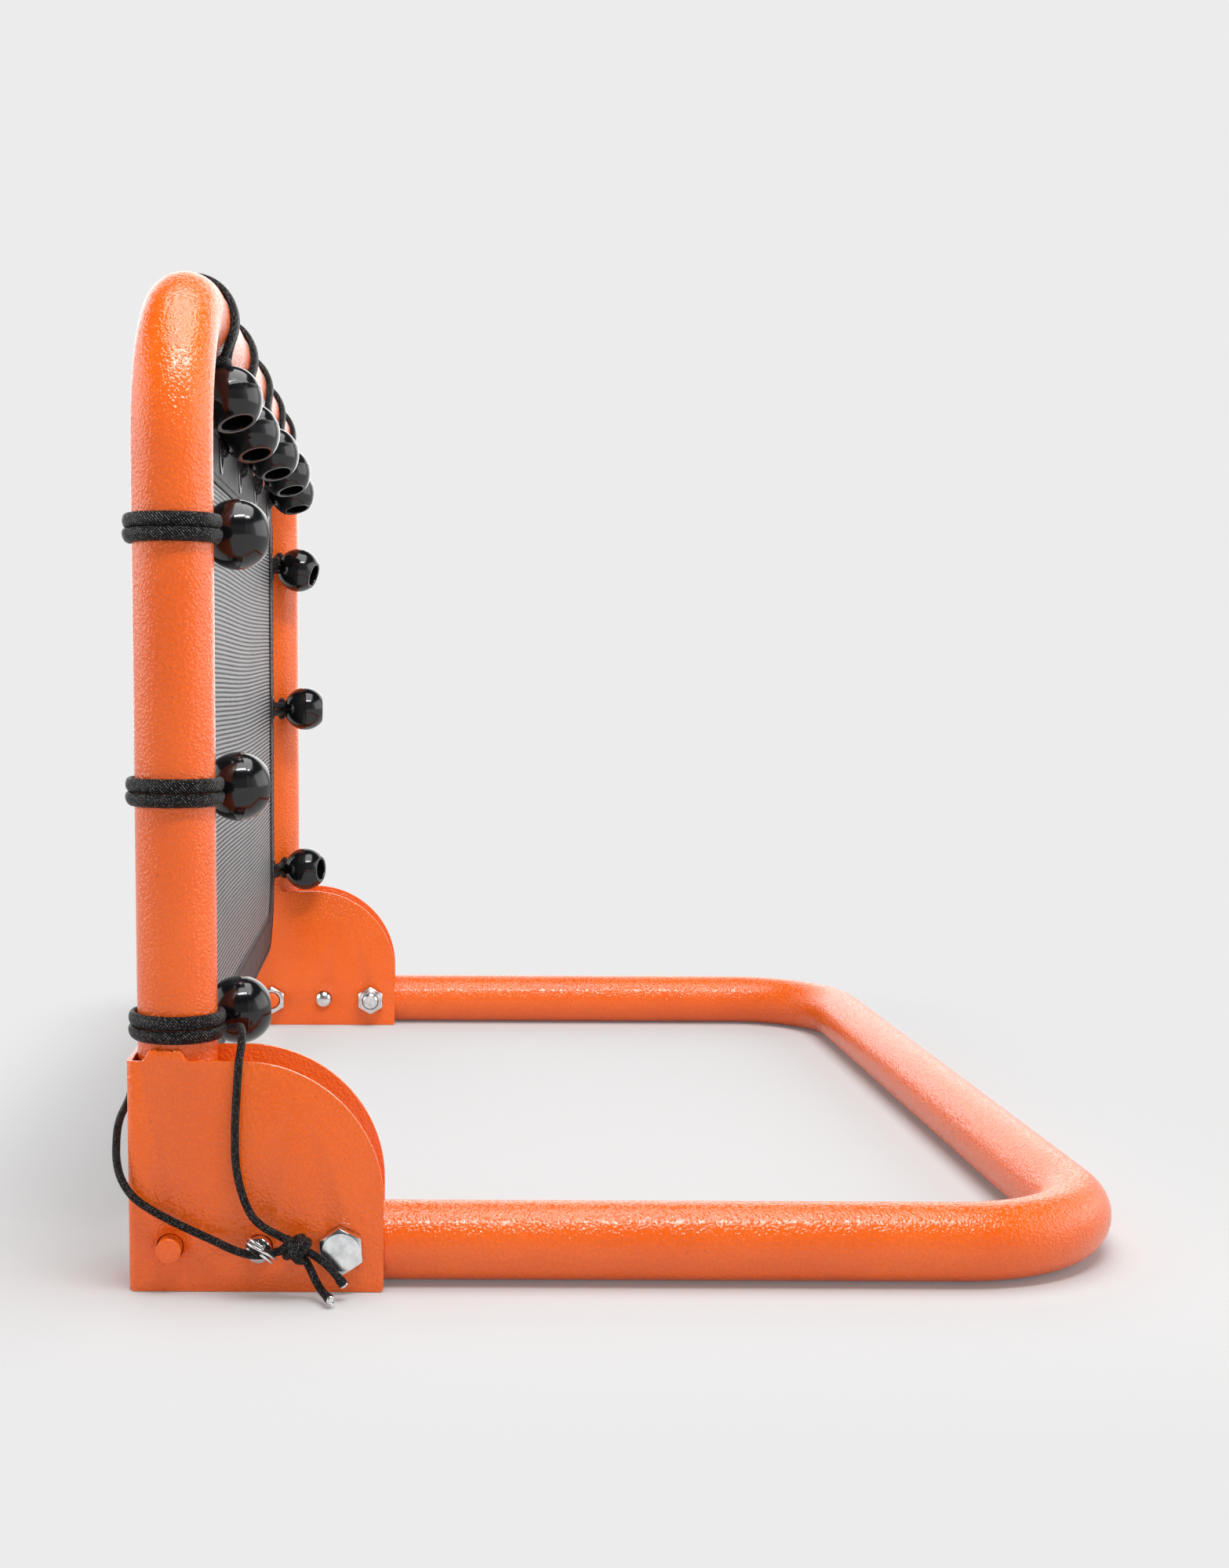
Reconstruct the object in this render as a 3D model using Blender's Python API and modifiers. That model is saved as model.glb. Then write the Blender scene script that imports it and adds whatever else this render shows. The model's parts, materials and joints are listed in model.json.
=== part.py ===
"""Folding football rebounder: a bent-tube upright with a sprung net, and a U-shaped base that folds.

Metres, +Z up. The play face looks toward -Y and the base reaches toward +Y. The origin is on the
floor, below the middle of the object. "Right" is +X, as seen from the play face.
"""
import math

import bmesh
import bpy
from mathutils import Matrix, Vector

# Overall sizes
LEG_SPACING = 0.560        # between the axes of the two legs
FRAME_HEIGHT = 0.4087      # floor to the top of the upper bar
BASE_REACH = 0.3805        # leg axis to the axis of the rear bar
FIT_GAP = 0.0003           # between pieces that touch

# Tubes
TUBE_DIAMETER = 0.032
TUBE_WALL = 0.0015
TOP_BEND_RADIUS = 0.064    # to the tube's centre line
BASE_BEND_RADIUS = 0.063
LEG_FOOT_HEIGHT = 0.0025   # floor to the open lower end of a leg
SWING_CLEARANCE = 0.0025   # from the base's inner ends to the legs, while it folds

# Folded sheet brackets at the feet of the legs
BRACKET_HEIGHT = 0.0930
BRACKET_REACH = 0.0830     # leg axis to the rear edge of the cheeks
BRACKET_ROUND = 0.0562     # quarter round at the upper rear corner
BRACKET_NIP = 0.0020       # small round at the lower rear corner
BRACKET_SHEET = 0.0020
BRACKET_FOLD = 0.0035      # outer radius of the two folds
CHEEK_GAP = 0.0004         # each side of the tube, between the cheeks
WELD_RADIUS = 0.0025
WELD_LENGTH = 0.017
WELD_SETBACK = -0.003      # middle of a bead, behind the leg's axis

# Fasteners on one line through each bracket
HOLE_LINE_RISE = 0.0023    # above the base tube's axis
STUD_BACK = -0.0016        # behind the leg's axis
PIN_BACK = 0.0338
BOLT_BACK = 0.0663
SHANK_DIAMETER = 0.0100
HOLE_CLEARANCE = 0.0004    # round a shank
HEX_ACROSS = 0.0163
HEX_HEAD = 0.0064
NUT_HEIGHT = 0.0080
LOCK_COLLAR = 0.0022
THREAD_SHOW = 0.0016       # beyond the nut
STUD_PROUD = 0.0065        # beyond the outer cheek
HEX_TURN = math.radians(4)

# Lock pins and their split rings
PIN_PROUD_OUT = 0.0072
PIN_PROUD_IN = 0.0055
PIN_DOME = 0.0022
RING_HOLE = 0.0048         # cross hole in the pin
RING_HOLE_SETBACK = 0.0036 # from the pin's outer tip
RING_WIRE = 0.0011
RING_ROOM = 0.0018         # from the pin's side to the middle of the wire, across the pin
RING_HANG = 0.0012         # the wire above the cross hole's middle
RING_PITCH = 0.0013
RIGHT_RING_SLOPE = math.radians(-37)

# Net and hem
HEM_TO_TUBE = 0.019
NET_BOTTOM = 0.060
NET_CORNER_TOP = 0.030
NET_CORNER_BOTTOM = 0.050
NET_THICKNESS = 0.0010
HEM_WIDTH = 0.025
HEM_THICKNESS = 0.0026
HEM_SLOT_DEPTH = 0.007
HEM_SLOT = 0.0016
EYELET_INSET = 0.010       # hem's edge to the eyelet's centre
EYELET_BORE = 0.0124
EYELET_WALL = 0.0006
EYELET_FLANGE = 0.0030
EYELET_LIP = 0.0005

# Ball bungees
CORD_DIAMETER = 0.0044
BALL_DIAMETER = 0.0284
BALL_MOUTH = 0.0136
BALL_NECK = 0.0098
BALL_FLAT = 0.0113         # ball's centre to its open flat end
BALL_SHOULDER = 0.0040     # ball's centre to the step that the knot sits on
KNOT_DIAMETER = 0.0112
KNOT_LENGTH = 0.0080
SIDE_BALL = (-0.0001, 0.0080)  # from the tube to the ball, and from the net's plane back to the ball
TOP_BALLS = ((0.0056, 0.0030), (0.0030, 0.0057), (0.0034, 0.0047), (0.0044, 0.0026), (0.0023, 0.0022))
SIDE_BALL_TILT = math.radians(37.5)
TOP_BALL_TILT = math.radians(11)
RIGHT_BUNGEES = (0.0120, 0.477, 0.0927)  # lowest over the bracket, middle's share, highest under the bar
LEFT_BUNGEES = (0.0170, 0.541, 0.0821)
TOP_BUNGEE_END = 0.080     # leg axis to the first bungee on the upper bar

# How a bungee's route bends, as shares of what it follows
TUBE_JOIN = 0.6            # of a wrap step, from where a strand meets the tube to the wrap's first point
EYELET_BRINK = 0.75        # of the cord's diameter, from the bore's side to the point before it
EYELET_FRONT = 0.55        # of the cord's distance from the net's plane, inside the eyelet's front
EYELET_BACK = 0.85         # and at its back
BALL_CLEARANCE = 1.04      # of the distance at which the cord would touch the ball
PASSING_BACK = 0.6         # of the cord's diameter, from the bore's side to where it passes the ball
PASSING_TURN = 0.55        # of the turn round the ball from there to the hook
PASSING_LIFT = 1.03        # of the clearance, on that turn
HOOK_TURNS = (0, 45, 90)   # degrees round the neck, from beside it to behind it
HOOK_SLACK = 0.00075       # beside the two strands in the neck

# Tether cord on the right lock pin
TETHER_DIAMETER = 0.0032
TETHER_KNOT = 0.0108
TIP_LENGTH = 0.0035
TIP_DIAMETER = 0.0037

# Facets
TUBE_SIDES = 5             # bevel resolution of the frame tubes
BEND_STEPS = 6
WIRE_SIDES = 1             # of bungees, rings and weld beads
CORD_SIDES = 2             # of the tether
WRAP_STEP = math.radians(40)
TETHER_STEP = 0.007        # along the tether's cords
ROUND_STEPS = 16
HOLE_STEPS = 12
HEX_STEPS = 12             # of the turned chamfer on a hexagon
EYELET_STEPS = 8
KNOT_STEPS = 8
LEG_STEPS = 32             # of the leg that trims a weld bead
BALL_STEPS = 12
ROUTE_SAMPLES = 12         # between two points of the tether's route
SHARP_ANGLE = math.radians(40)
MERGE_DISTANCE = 0.00001

# Worked out from the sizes above
TUBE_RADIUS = TUBE_DIAMETER / 2
CORD_RADIUS = CORD_DIAMETER / 2
BALL_RADIUS = BALL_DIAMETER / 2
SHANK_RADIUS = SHANK_DIAMETER / 2
RING_RADIUS = SHANK_RADIUS + RING_ROOM
RING_THROW = RING_RADIUS - RING_HANG
HOLE_RADIUS = SHANK_RADIUS + HOLE_CLEARANCE
LEG_X = LEG_SPACING / 2
BAR_HEIGHT = FRAME_HEIGHT - TUBE_RADIUS
HOLE_HEIGHT = TUBE_RADIUS + HOLE_LINE_RISE
CHEEK_IN = TUBE_RADIUS + CHEEK_GAP
CHEEK_OUT = CHEEK_IN + BRACKET_SHEET
WEB_FRONT = TUBE_RADIUS + FIT_GAP + BRACKET_SHEET
WRAP_RADIUS = (TUBE_RADIUS + FIT_GAP + CORD_RADIUS) / math.cos(WRAP_STEP / 2)
FRONT_PROUD = WRAP_RADIUS + CORD_RADIUS
LEG_Y = -(BASE_REACH + TUBE_RADIUS - FRONT_PROUD) / 2
SWING_REACH = BOLT_BACK - TUBE_RADIUS - SWING_CLEARANCE
BASE_START = BOLT_BACK - math.sqrt(SWING_REACH ** 2 - HOLE_HEIGHT ** 2)
NET_GAP = TUBE_RADIUS + HEM_TO_TUBE
TUBE_CUTTER = TUBE_DIAMETER * 1.5
CHEEK_CUTTER = CHEEK_OUT * 3
EYELET_AXIS = NET_GAP + EYELET_INSET
EYELET_FACE = HEM_THICKNESS / 2 + FIT_GAP + EYELET_LIP

UP = Vector((0, 0, 1))
BACK = Vector((0, 1, 0))


def clear_scene():
    for item in list(bpy.data.objects):
        bpy.data.objects.remove(item, do_unlink=True)


def new_collection(name):
    collection = bpy.data.collections.new(name)
    bpy.context.scene.collection.children.link(collection)
    return collection


def new_material(name, colour, roughness, metallic=0.0):
    material = bpy.data.materials.new(name)
    material.use_nodes = True
    shader = material.node_tree.nodes["Principled BSDF"]
    shader.inputs["Base Color"].default_value = (*colour, 1.0)
    shader.inputs["Roughness"].default_value = roughness
    shader.inputs["Metallic"].default_value = metallic
    return material


clear_scene()
PARTS = new_collection("football_rebounder")
CUTTERS = new_collection("cutters")
ORANGE = new_material("orange_powder_coat", (0.80, 0.16, 0.03), 0.35)
ZINC = new_material("zinc_plate", (0.62, 0.64, 0.66), 0.30, 1.0)
CHROME = new_material("bright_steel", (0.75, 0.76, 0.78), 0.15, 1.0)
BLACK_STEEL = new_material("black_steel", (0.03, 0.03, 0.03), 0.35, 0.8)
MESH_CLOTH = new_material("net_mesh", (0.05, 0.055, 0.06), 0.80)
WEBBING = new_material("black_webbing", (0.012, 0.012, 0.013), 0.85)
ELASTIC = new_material("black_elastic", (0.010, 0.010, 0.011), 0.75)
BALL_PLASTIC = new_material("black_plastic", (0.012, 0.013, 0.014), 0.18)


def add_part(name, mesh, material, place=None):
    """Puts a mesh in the object's collection as a named part."""
    part = bpy.data.objects.new(name, mesh)
    part.matrix_world = place or Matrix()
    mesh.materials.clear()
    mesh.materials.append(material)
    PARTS.objects.link(part)
    return part


def add_tool(name, mesh, place=None):
    """Puts a mesh in the cutters' collection, for Boolean modifiers to use."""
    tool = bpy.data.objects.new(name, mesh)
    tool.matrix_world = place or Matrix()
    tool.hide_render = True
    tool.display_type = "WIRE"
    CUTTERS.objects.link(tool)
    return tool


def combine(part, tool, operation="DIFFERENCE"):
    modifier = part.modifiers.new(tool.name, "BOOLEAN")
    modifier.operation = operation
    modifier.solver = "EXACT"
    modifier.object = tool


def mesh_from_curve(curve):
    """Turns a curve into a mesh with its caps joined on, and removes the curve."""
    holder = bpy.data.objects.new("curve_source", curve)
    bpy.context.scene.collection.objects.link(holder)
    graph = bpy.context.evaluated_depsgraph_get()
    mesh = bpy.data.meshes.new_from_object(holder.evaluated_get(graph))
    bpy.data.objects.remove(holder, do_unlink=True)
    work = bmesh.new()
    work.from_mesh(mesh)
    bmesh.ops.remove_doubles(work, verts=work.verts, dist=MERGE_DISTANCE)
    bmesh.ops.recalc_face_normals(work, faces=work.faces)
    work.to_mesh(mesh)
    work.free()
    mesh.shade_smooth()
    mesh.set_sharp_from_angle(angle=SHARP_ANGLE)
    return mesh


def tube_mesh(points, radius, sides, caps=True):
    """A round bar along a list of points."""
    curve = bpy.data.curves.new("tube", "CURVE")
    curve.dimensions = "3D"
    curve.bevel_depth = radius
    curve.bevel_resolution = sides
    curve.use_fill_caps = caps
    spline = curve.splines.new("POLY")
    spline.points.add(len(points) - 1)
    for target, point in zip(spline.points, points):
        target.co = (*point, 1.0)
    return mesh_from_curve(curve)


def plate_mesh(outlines, thickness):
    """A flat plate in the XY plane. The outlines after the first are its holes."""
    curve = bpy.data.curves.new("plate", "CURVE")
    curve.dimensions = "2D"
    curve.fill_mode = "BOTH"
    curve.extrude = thickness / 2
    for outline in outlines:
        spline = curve.splines.new("POLY")
        spline.points.add(len(outline) - 1)
        spline.use_cyclic_u = True
        for target, point in zip(spline.points, outline):
            target.co = (*point, 0.0, 1.0)
    return mesh_from_curve(curve)


def turned_mesh(profile, closed=False):
    """The edges of a profile of (radius, height) pairs, for a Screw modifier."""
    mesh = bpy.data.meshes.new("profile")
    edges = [(i, i + 1) for i in range(len(profile) - 1)]
    if closed:
        edges.append((len(profile) - 1, 0))
    mesh.from_pydata([(radius, 0.0, height) for radius, height in profile], edges, [])
    return mesh


def spin(item, steps=ROUND_STEPS):
    """Turns an object's profile about its own Z axis."""
    screw = item.modifiers.new("turn", "SCREW")
    screw.steps = steps
    screw.render_steps = steps
    screw.use_merge_vertices = True
    screw.merge_threshold = MERGE_DISTANCE
    return item


def rod_mesh(radius, length, segments=ROUND_STEPS):
    """A cylinder on the Z axis, centred on the origin."""
    work = bmesh.new()
    bmesh.ops.create_cone(work, cap_ends=True, segments=segments, radius1=radius, radius2=radius, depth=length)
    mesh = bpy.data.meshes.new("rod")
    work.to_mesh(mesh)
    work.free()
    return mesh


def frame_matrix(x_axis, y_axis, z_axis, origin):
    """A placement from three axes and an origin."""
    matrix = Matrix((x_axis, y_axis, z_axis)).transposed().to_4x4()
    matrix.translation = origin
    return matrix


def at_bracket(side, outward, back, up):
    """A point given from the foot of a leg: outward from its axis, backward and up."""
    return Vector((side * (LEG_X + outward), LEG_Y + back, up))


def cross_place(side, outward, back, up, turn=0.0):
    """Stands an object's Z axis along the bracket's holes, pointing outward."""
    point = at_bracket(side, outward, back, up)
    return Matrix.Translation(point) @ Matrix.Rotation(side * math.pi / 2, 4, "Y") @ Matrix.Rotation(turn, 4, "Z")


def arc(centre, radius, start, end, steps):
    """Points of an arc in a plane, both ends included."""
    turns = [start + (end - start) * i / steps for i in range(steps + 1)]
    return [(centre[0] + radius * math.cos(t), centre[1] + radius * math.sin(t)) for t in turns]


def bent_path(corners, radius):
    """Straight runs between corners, with an arc at each corner between the ends."""
    path = [corners[0]]
    for before, corner, after in zip(corners, corners[1:], corners[2:]):
        into = (corner - before).normalized()
        out = (after - corner).normalized()
        centre = corner + (out - into) * radius
        for i in range(BEND_STEPS + 1):
            turn = math.pi / 2 * i / BEND_STEPS
            path.append(centre - out * radius * math.cos(turn) + into * radius * math.sin(turn))
    path.append(corners[-1])
    return path


def hollow_tube(name, corners, bend_radius, origin):
    """A bent steel tube, open at both ends, with its object's origin where it is asked for."""
    path = [point - origin for point in bent_path(corners, bend_radius)]
    mesh = tube_mesh(path, TUBE_RADIUS, TUBE_SIDES, caps=False)
    part = add_part(name, mesh, ORANGE, Matrix.Translation(origin))
    wall = part.modifiers.new("wall", "SOLIDIFY")
    wall.thickness = TUBE_WALL
    wall.offset = -1
    wall.use_even_offset = True
    return part


def upright_frame():
    """The upright: two legs and the upper bar, bent from one tube."""
    corners = [Vector((LEG_X, LEG_Y, LEG_FOOT_HEIGHT)), Vector((LEG_X, LEG_Y, BAR_HEIGHT)),
               Vector((-LEG_X, LEG_Y, BAR_HEIGHT)), Vector((-LEG_X, LEG_Y, LEG_FOOT_HEIGHT))]
    frame = hollow_tube("upright_frame", corners, TOP_BEND_RADIUS, Vector((0, LEG_Y, 0)))
    for side in (1, -1):
        place = cross_place(side, 0, STUD_BACK, HOLE_HEIGHT)
        combine(frame, add_tool("leg_hole", rod_mesh(HOLE_RADIUS, TUBE_CUTTER, HOLE_STEPS), place))


def pin_slot_outline():
    """The way of the lock pin through the base's inner end, about the pivot, as (back, up)."""
    sweep = BOLT_BACK - PIN_BACK
    half = SHANK_RADIUS + 2 * HOLE_CLEARANCE
    open_end = math.radians(96)
    round_end = arc((-sweep, 0), half, math.radians(180), math.radians(360), 8)
    inner = arc((0, 0), sweep - half, math.radians(180), open_end, 8)
    outer = arc((0, 0), sweep + half, open_end, math.radians(180), 8)
    return round_end + inner[1:] + outer[:-1]


def base_frame():
    """The base: a U bent from one tube, which turns about the two pivot bolts."""
    pivot = Vector((0, LEG_Y + BOLT_BACK, HOLE_HEIGHT))
    start = LEG_Y + BASE_START
    rear = LEG_Y + BASE_REACH
    corners = [Vector((LEG_X, start, TUBE_RADIUS)), Vector((LEG_X, rear, TUBE_RADIUS)),
               Vector((-LEG_X, rear, TUBE_RADIUS)), Vector((-LEG_X, start, TUBE_RADIUS))]
    frame = hollow_tube("base_frame", corners, BASE_BEND_RADIUS, pivot)
    for side in (1, -1):
        place = cross_place(side, 0, BOLT_BACK, HOLE_HEIGHT)
        combine(frame, add_tool("pivot_hole", rod_mesh(HOLE_RADIUS, TUBE_CUTTER, HOLE_STEPS), place))
        slot_place = frame_matrix(BACK, UP, Vector((1, 0, 0)), at_bracket(side, 0, BOLT_BACK, HOLE_HEIGHT))
        combine(frame, add_tool("pin_slot", plate_mesh([pin_slot_outline()], TUBE_CUTTER), slot_place))


def bracket_shell():
    """The folded sheet of a bracket as an open surface, before it gets its side outline."""
    spare = 0.005
    half = CHEEK_OUT - BRACKET_FOLD
    fold_y = BRACKET_FOLD - WEB_FRONT
    plan = [(CHEEK_OUT, BRACKET_REACH + spare)]
    plan += reversed(arc((half, fold_y), BRACKET_FOLD, math.radians(-90), 0, 4))
    plan += reversed(arc((-half, fold_y), BRACKET_FOLD, math.radians(-180), math.radians(-90), 4))
    plan.append((-CHEEK_OUT, BRACKET_REACH + spare))
    mesh = bpy.data.meshes.new("bracket")
    work = bmesh.new()
    feet = [work.verts.new((x, y, -spare)) for x, y in plan]
    edges = [work.edges.new(pair) for pair in zip(feet, feet[1:])]
    swept = bmesh.ops.extrude_edge_only(work, edges=edges)["geom"]
    raised = [item for item in swept if isinstance(item, bmesh.types.BMVert)]
    bmesh.ops.translate(work, verts=raised, vec=(0, 0, BRACKET_HEIGHT + 2 * spare))
    for face in work.faces:
        middle = face.calc_center_median()
        if face.normal.dot(Vector((middle.x, middle.y - BRACKET_REACH, 0))) < 0:
            face.normal_flip()
    work.to_mesh(mesh)
    work.free()
    return mesh


def bracket_outline():
    """A cheek seen from the side, as (back, up), with spare sheet in front of the web."""
    front = -WEB_FRONT - 0.005
    nip = arc((BRACKET_REACH - BRACKET_NIP, BRACKET_NIP), BRACKET_NIP, math.radians(-90), 0, 3)
    top = arc((BRACKET_REACH - BRACKET_ROUND, BRACKET_HEIGHT - BRACKET_ROUND), BRACKET_ROUND,
              0, math.radians(90), 10)
    return [(front, 0.0)] + nip + top + [(front, BRACKET_HEIGHT)]


def weld_bead(side, cheek):
    """A short fillet of weld on the top edge of a cheek, run up against the leg."""
    half_steps = 2
    outward = cheek * (CHEEK_OUT - BRACKET_SHEET / 2)
    run = []
    for i in range(-half_steps, half_steps + 1):
        back = WELD_SETBACK + WELD_LENGTH / 2 * i / half_steps
        drop = WELD_RADIUS * 0.55 * (i / half_steps) ** 2
        run.append(at_bracket(side, outward, back, BRACKET_HEIGHT + WELD_RADIUS * 0.5 - drop))
    bead = add_tool("weld", tube_mesh(run, WELD_RADIUS, WIRE_SIDES))
    leg = add_tool("weld_leg", rod_mesh(TUBE_RADIUS + FIT_GAP, 2 * BRACKET_HEIGHT, LEG_STEPS),
                   Matrix.Translation(at_bracket(side, 0, 0, BRACKET_HEIGHT)))
    combine(bead, leg)
    return bead


def bracket(side, name):
    """A channel folded from sheet, welded to a leg, that carries the base between its cheeks."""
    part = add_part(name, bracket_shell(), ORANGE, Matrix.Translation(at_bracket(side, 0, 0, 0)))
    sheet = part.modifiers.new("sheet", "SOLIDIFY")
    sheet.thickness = BRACKET_SHEET
    sheet.offset = -1
    sheet.use_even_offset = True
    outline_place = frame_matrix(BACK, UP, Vector((1, 0, 0)), at_bracket(side, 0, 0, 0))
    outline = add_tool("cheek_outline", plate_mesh([bracket_outline()], CHEEK_CUTTER), outline_place)
    combine(part, outline, "INTERSECT")
    for back in (STUD_BACK, PIN_BACK, BOLT_BACK):
        place = cross_place(side, 0, back, HOLE_HEIGHT)
        combine(part, add_tool("cheek_hole", rod_mesh(HOLE_RADIUS, CHEEK_CUTTER, HOLE_STEPS), place))
    for cheek in (1, -1):
        combine(part, weld_bead(side, cheek), "UNION")


def chamfer_profile(height, both_ends):
    """The turned outline that rounds off a hexagon's corners, run past its flat ends."""
    slope = math.tan(math.radians(30))
    past = 0.0010
    face = HEX_ACROSS / 2 * 0.96
    outside = HEX_ACROSS / math.sqrt(3) + past
    drop = (outside - face) * slope
    point = face - past / slope
    bottom = [(outside, drop), (point, -past)] if both_ends else [(outside, -past)]
    return [(0.0, height + past), (point, height + past), (outside, height - drop)] + bottom + [(0.0, -past)]


def hexagon(name, height, material, place, both_ends):
    """A hexagonal head or nut body on its own Z axis, from 0 up."""
    mesh = rod_mesh(HEX_ACROSS / math.sqrt(3), height, 6)
    mesh.transform(Matrix.Translation((0, 0, height / 2)))
    part = add_part(name, mesh, material, place)
    tool = add_tool("chamfer", turned_mesh(chamfer_profile(height, both_ends)), place)
    combine(part, spin(tool, HEX_STEPS), "INTERSECT")
    return part


def pivot_bolt(side, name):
    """The hexagon bolt that the base turns on."""
    seat = CHEEK_OUT + FIT_GAP
    part = hexagon(name, HEX_HEAD, ZINC, cross_place(side, seat, BOLT_BACK, HOLE_HEIGHT, HEX_TURN), False)
    length = 2 * seat + NUT_HEIGHT + LOCK_COLLAR + THREAD_SHOW
    overlap = 0.0005
    chamfer = 0.0008
    profile = [(0.0, overlap), (SHANK_RADIUS, overlap), (SHANK_RADIUS, chamfer - length),
               (SHANK_RADIUS - chamfer, -length), (0.0, -length)]
    shank = add_tool("shank", turned_mesh(profile), cross_place(side, seat, BOLT_BACK, HOLE_HEIGHT))
    combine(part, spin(shank), "UNION")


def nut(side, name, back, collar):
    """A hexagon nut on the inner cheek, with a round locking collar where it has one."""
    place = cross_place(side, -(CHEEK_OUT + FIT_GAP), back, HOLE_HEIGHT) @ Matrix.Rotation(math.pi, 4, "X")
    part = hexagon(name, NUT_HEIGHT, ZINC, place, True)
    if collar:
        rim = HEX_ACROSS / 2 * 0.90
        top = NUT_HEIGHT + LOCK_COLLAR
        profile = [(0.0, top), (rim - 0.0010, top), (rim, top - 0.0012), (rim, NUT_HEIGHT / 2),
                   (0.0, NUT_HEIGHT / 2)]
        combine(part, spin(add_tool("collar", turned_mesh(profile), place)), "UNION")
    combine(part, add_tool("nut_bore", rod_mesh(SHANK_RADIUS + FIT_GAP, 0.06, ROUND_STEPS), place))


def cross_stud(side, name):
    """The painted stud that holds a leg's foot in its bracket."""
    outer = CHEEK_OUT + STUD_PROUD
    inner = -(CHEEK_OUT + FIT_GAP + NUT_HEIGHT + THREAD_SHOW)
    chamfer = 0.0006
    profile = [(0.0, outer), (SHANK_RADIUS - chamfer, outer), (SHANK_RADIUS, outer - chamfer),
               (SHANK_RADIUS, inner + chamfer), (SHANK_RADIUS - chamfer, inner), (0.0, inner)]
    spin(add_part(name, turned_mesh(profile), ORANGE, cross_place(side, 0, STUD_BACK, HOLE_HEIGHT)))


def dome(tip, sign):
    """Profile points of a shallow dome on a pin's end, from its axis to its side."""
    curve = (SHANK_RADIUS ** 2 + PIN_DOME ** 2) / (2 * PIN_DOME)
    reach = math.asin(SHANK_RADIUS / curve)
    points = []
    for i in range(4):
        turn = reach * i / 3
        points.append((curve * math.sin(turn), tip - sign * curve * (1 - math.cos(turn))))
    return points


def ring_axis(side):
    """The direction of a lock pin's cross hole."""
    slope = RIGHT_RING_SLOPE if side > 0 else 0.0
    return Vector((0, math.cos(slope), math.sin(slope)))


def ring_hole(side):
    """The middle of a lock pin's cross hole."""
    return at_bracket(side, CHEEK_OUT + PIN_PROUD_OUT - RING_HOLE_SETBACK, PIN_BACK, HOLE_HEIGHT)


def lock_pin(side, name):
    """The round pin that locks the base down, with a cross hole for its ring."""
    outer = CHEEK_OUT + PIN_PROUD_OUT
    inner = -(CHEEK_OUT + PIN_PROUD_IN)
    profile = dome(outer, 1) + list(reversed(dome(inner, -1)))
    part = spin(add_part(name, turned_mesh(profile), CHROME, cross_place(side, 0, PIN_BACK, HOLE_HEIGHT)))
    along = ring_axis(side)
    across = Vector((side, 0, 0))
    place = frame_matrix(across, along.cross(across), along, ring_hole(side))
    combine(part, add_tool("ring_hole", rod_mesh(RING_HOLE / 2, SHANK_DIAMETER * 2, 10), place))


def pin_ring(side, name):
    """A split ring of two turns: it stands outward on the right pin and hangs on the left one."""
    along = ring_axis(side)
    throw = Vector((side, 0, 0)) if side > 0 else -UP
    normal = along.cross(throw)
    turns = 2
    steps_per_turn = 14
    points = []
    for i in range(turns * steps_per_turn + 1):
        share = i / steps_per_turn
        angle = math.pi / 2 + 2 * math.pi * share
        centre = throw * RING_THROW + normal * RING_PITCH * (share - turns / 2)
        points.append(centre + (along * math.cos(angle) + throw * math.sin(angle)) * RING_RADIUS)
    mesh = tube_mesh(points, RING_WIRE / 2, WIRE_SIDES)
    add_part(name, mesh, CHROME, Matrix.Translation(ring_hole(side)))


def net_outline(inset):
    """The hem's rounded outline in the net's plane, moved inward by an inset."""
    left = -(LEG_X - NET_GAP - inset)
    right = -left
    bottom = NET_BOTTOM + inset
    top = BAR_HEIGHT - NET_GAP - inset
    low = NET_CORNER_BOTTOM - inset
    high = NET_CORNER_TOP - inset
    quarter = math.pi / 2
    points = arc((right - low, bottom + low), low, -quarter, 0, 6)
    points += arc((right - high, top - high), high, 0, quarter, 5)
    points += arc((left + high, top - high), high, quarter, 2 * quarter, 5)
    points += arc((left + low, bottom + low), low, 2 * quarter, 3 * quarter, 6)
    return points


def ball_centre(gaps):
    """Where a ball's centre lies from the tube's axis: toward the net and backward."""
    return TUBE_RADIUS + BALL_RADIUS + gaps[0], BALL_RADIUS + gaps[1]


def bungee_places():
    """Name, tube axis point, way to the net, way along the tube, ball place and tilt of each bungee."""
    side_ball = ball_centre(SIDE_BALL)
    places = []
    for side, word, heights in ((1, "right", RIGHT_BUNGEES), (-1, "left", LEFT_BUNGEES)):
        low = BRACKET_HEIGHT + heights[0]
        high = BAR_HEIGHT - heights[2]
        for i, share in enumerate((0.0, heights[1], 1.0)):
            point = Vector((side * LEG_X, LEG_Y, low + (high - low) * share))
            places.append((f"{word}_{i + 1}", point, Vector((-side, 0, 0)), UP, side_ball, SIDE_BALL_TILT))
    span = LEG_SPACING - 2 * TOP_BUNGEE_END
    for i, gaps in enumerate(TOP_BALLS):
        point = Vector((-span / 2 + span * i / (len(TOP_BALLS) - 1), LEG_Y, BAR_HEIGHT))
        places.append((f"top_{i + 1}", point, -UP, Vector((1, 0, 0)), ball_centre(gaps), TOP_BALL_TILT))
    return places


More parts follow.
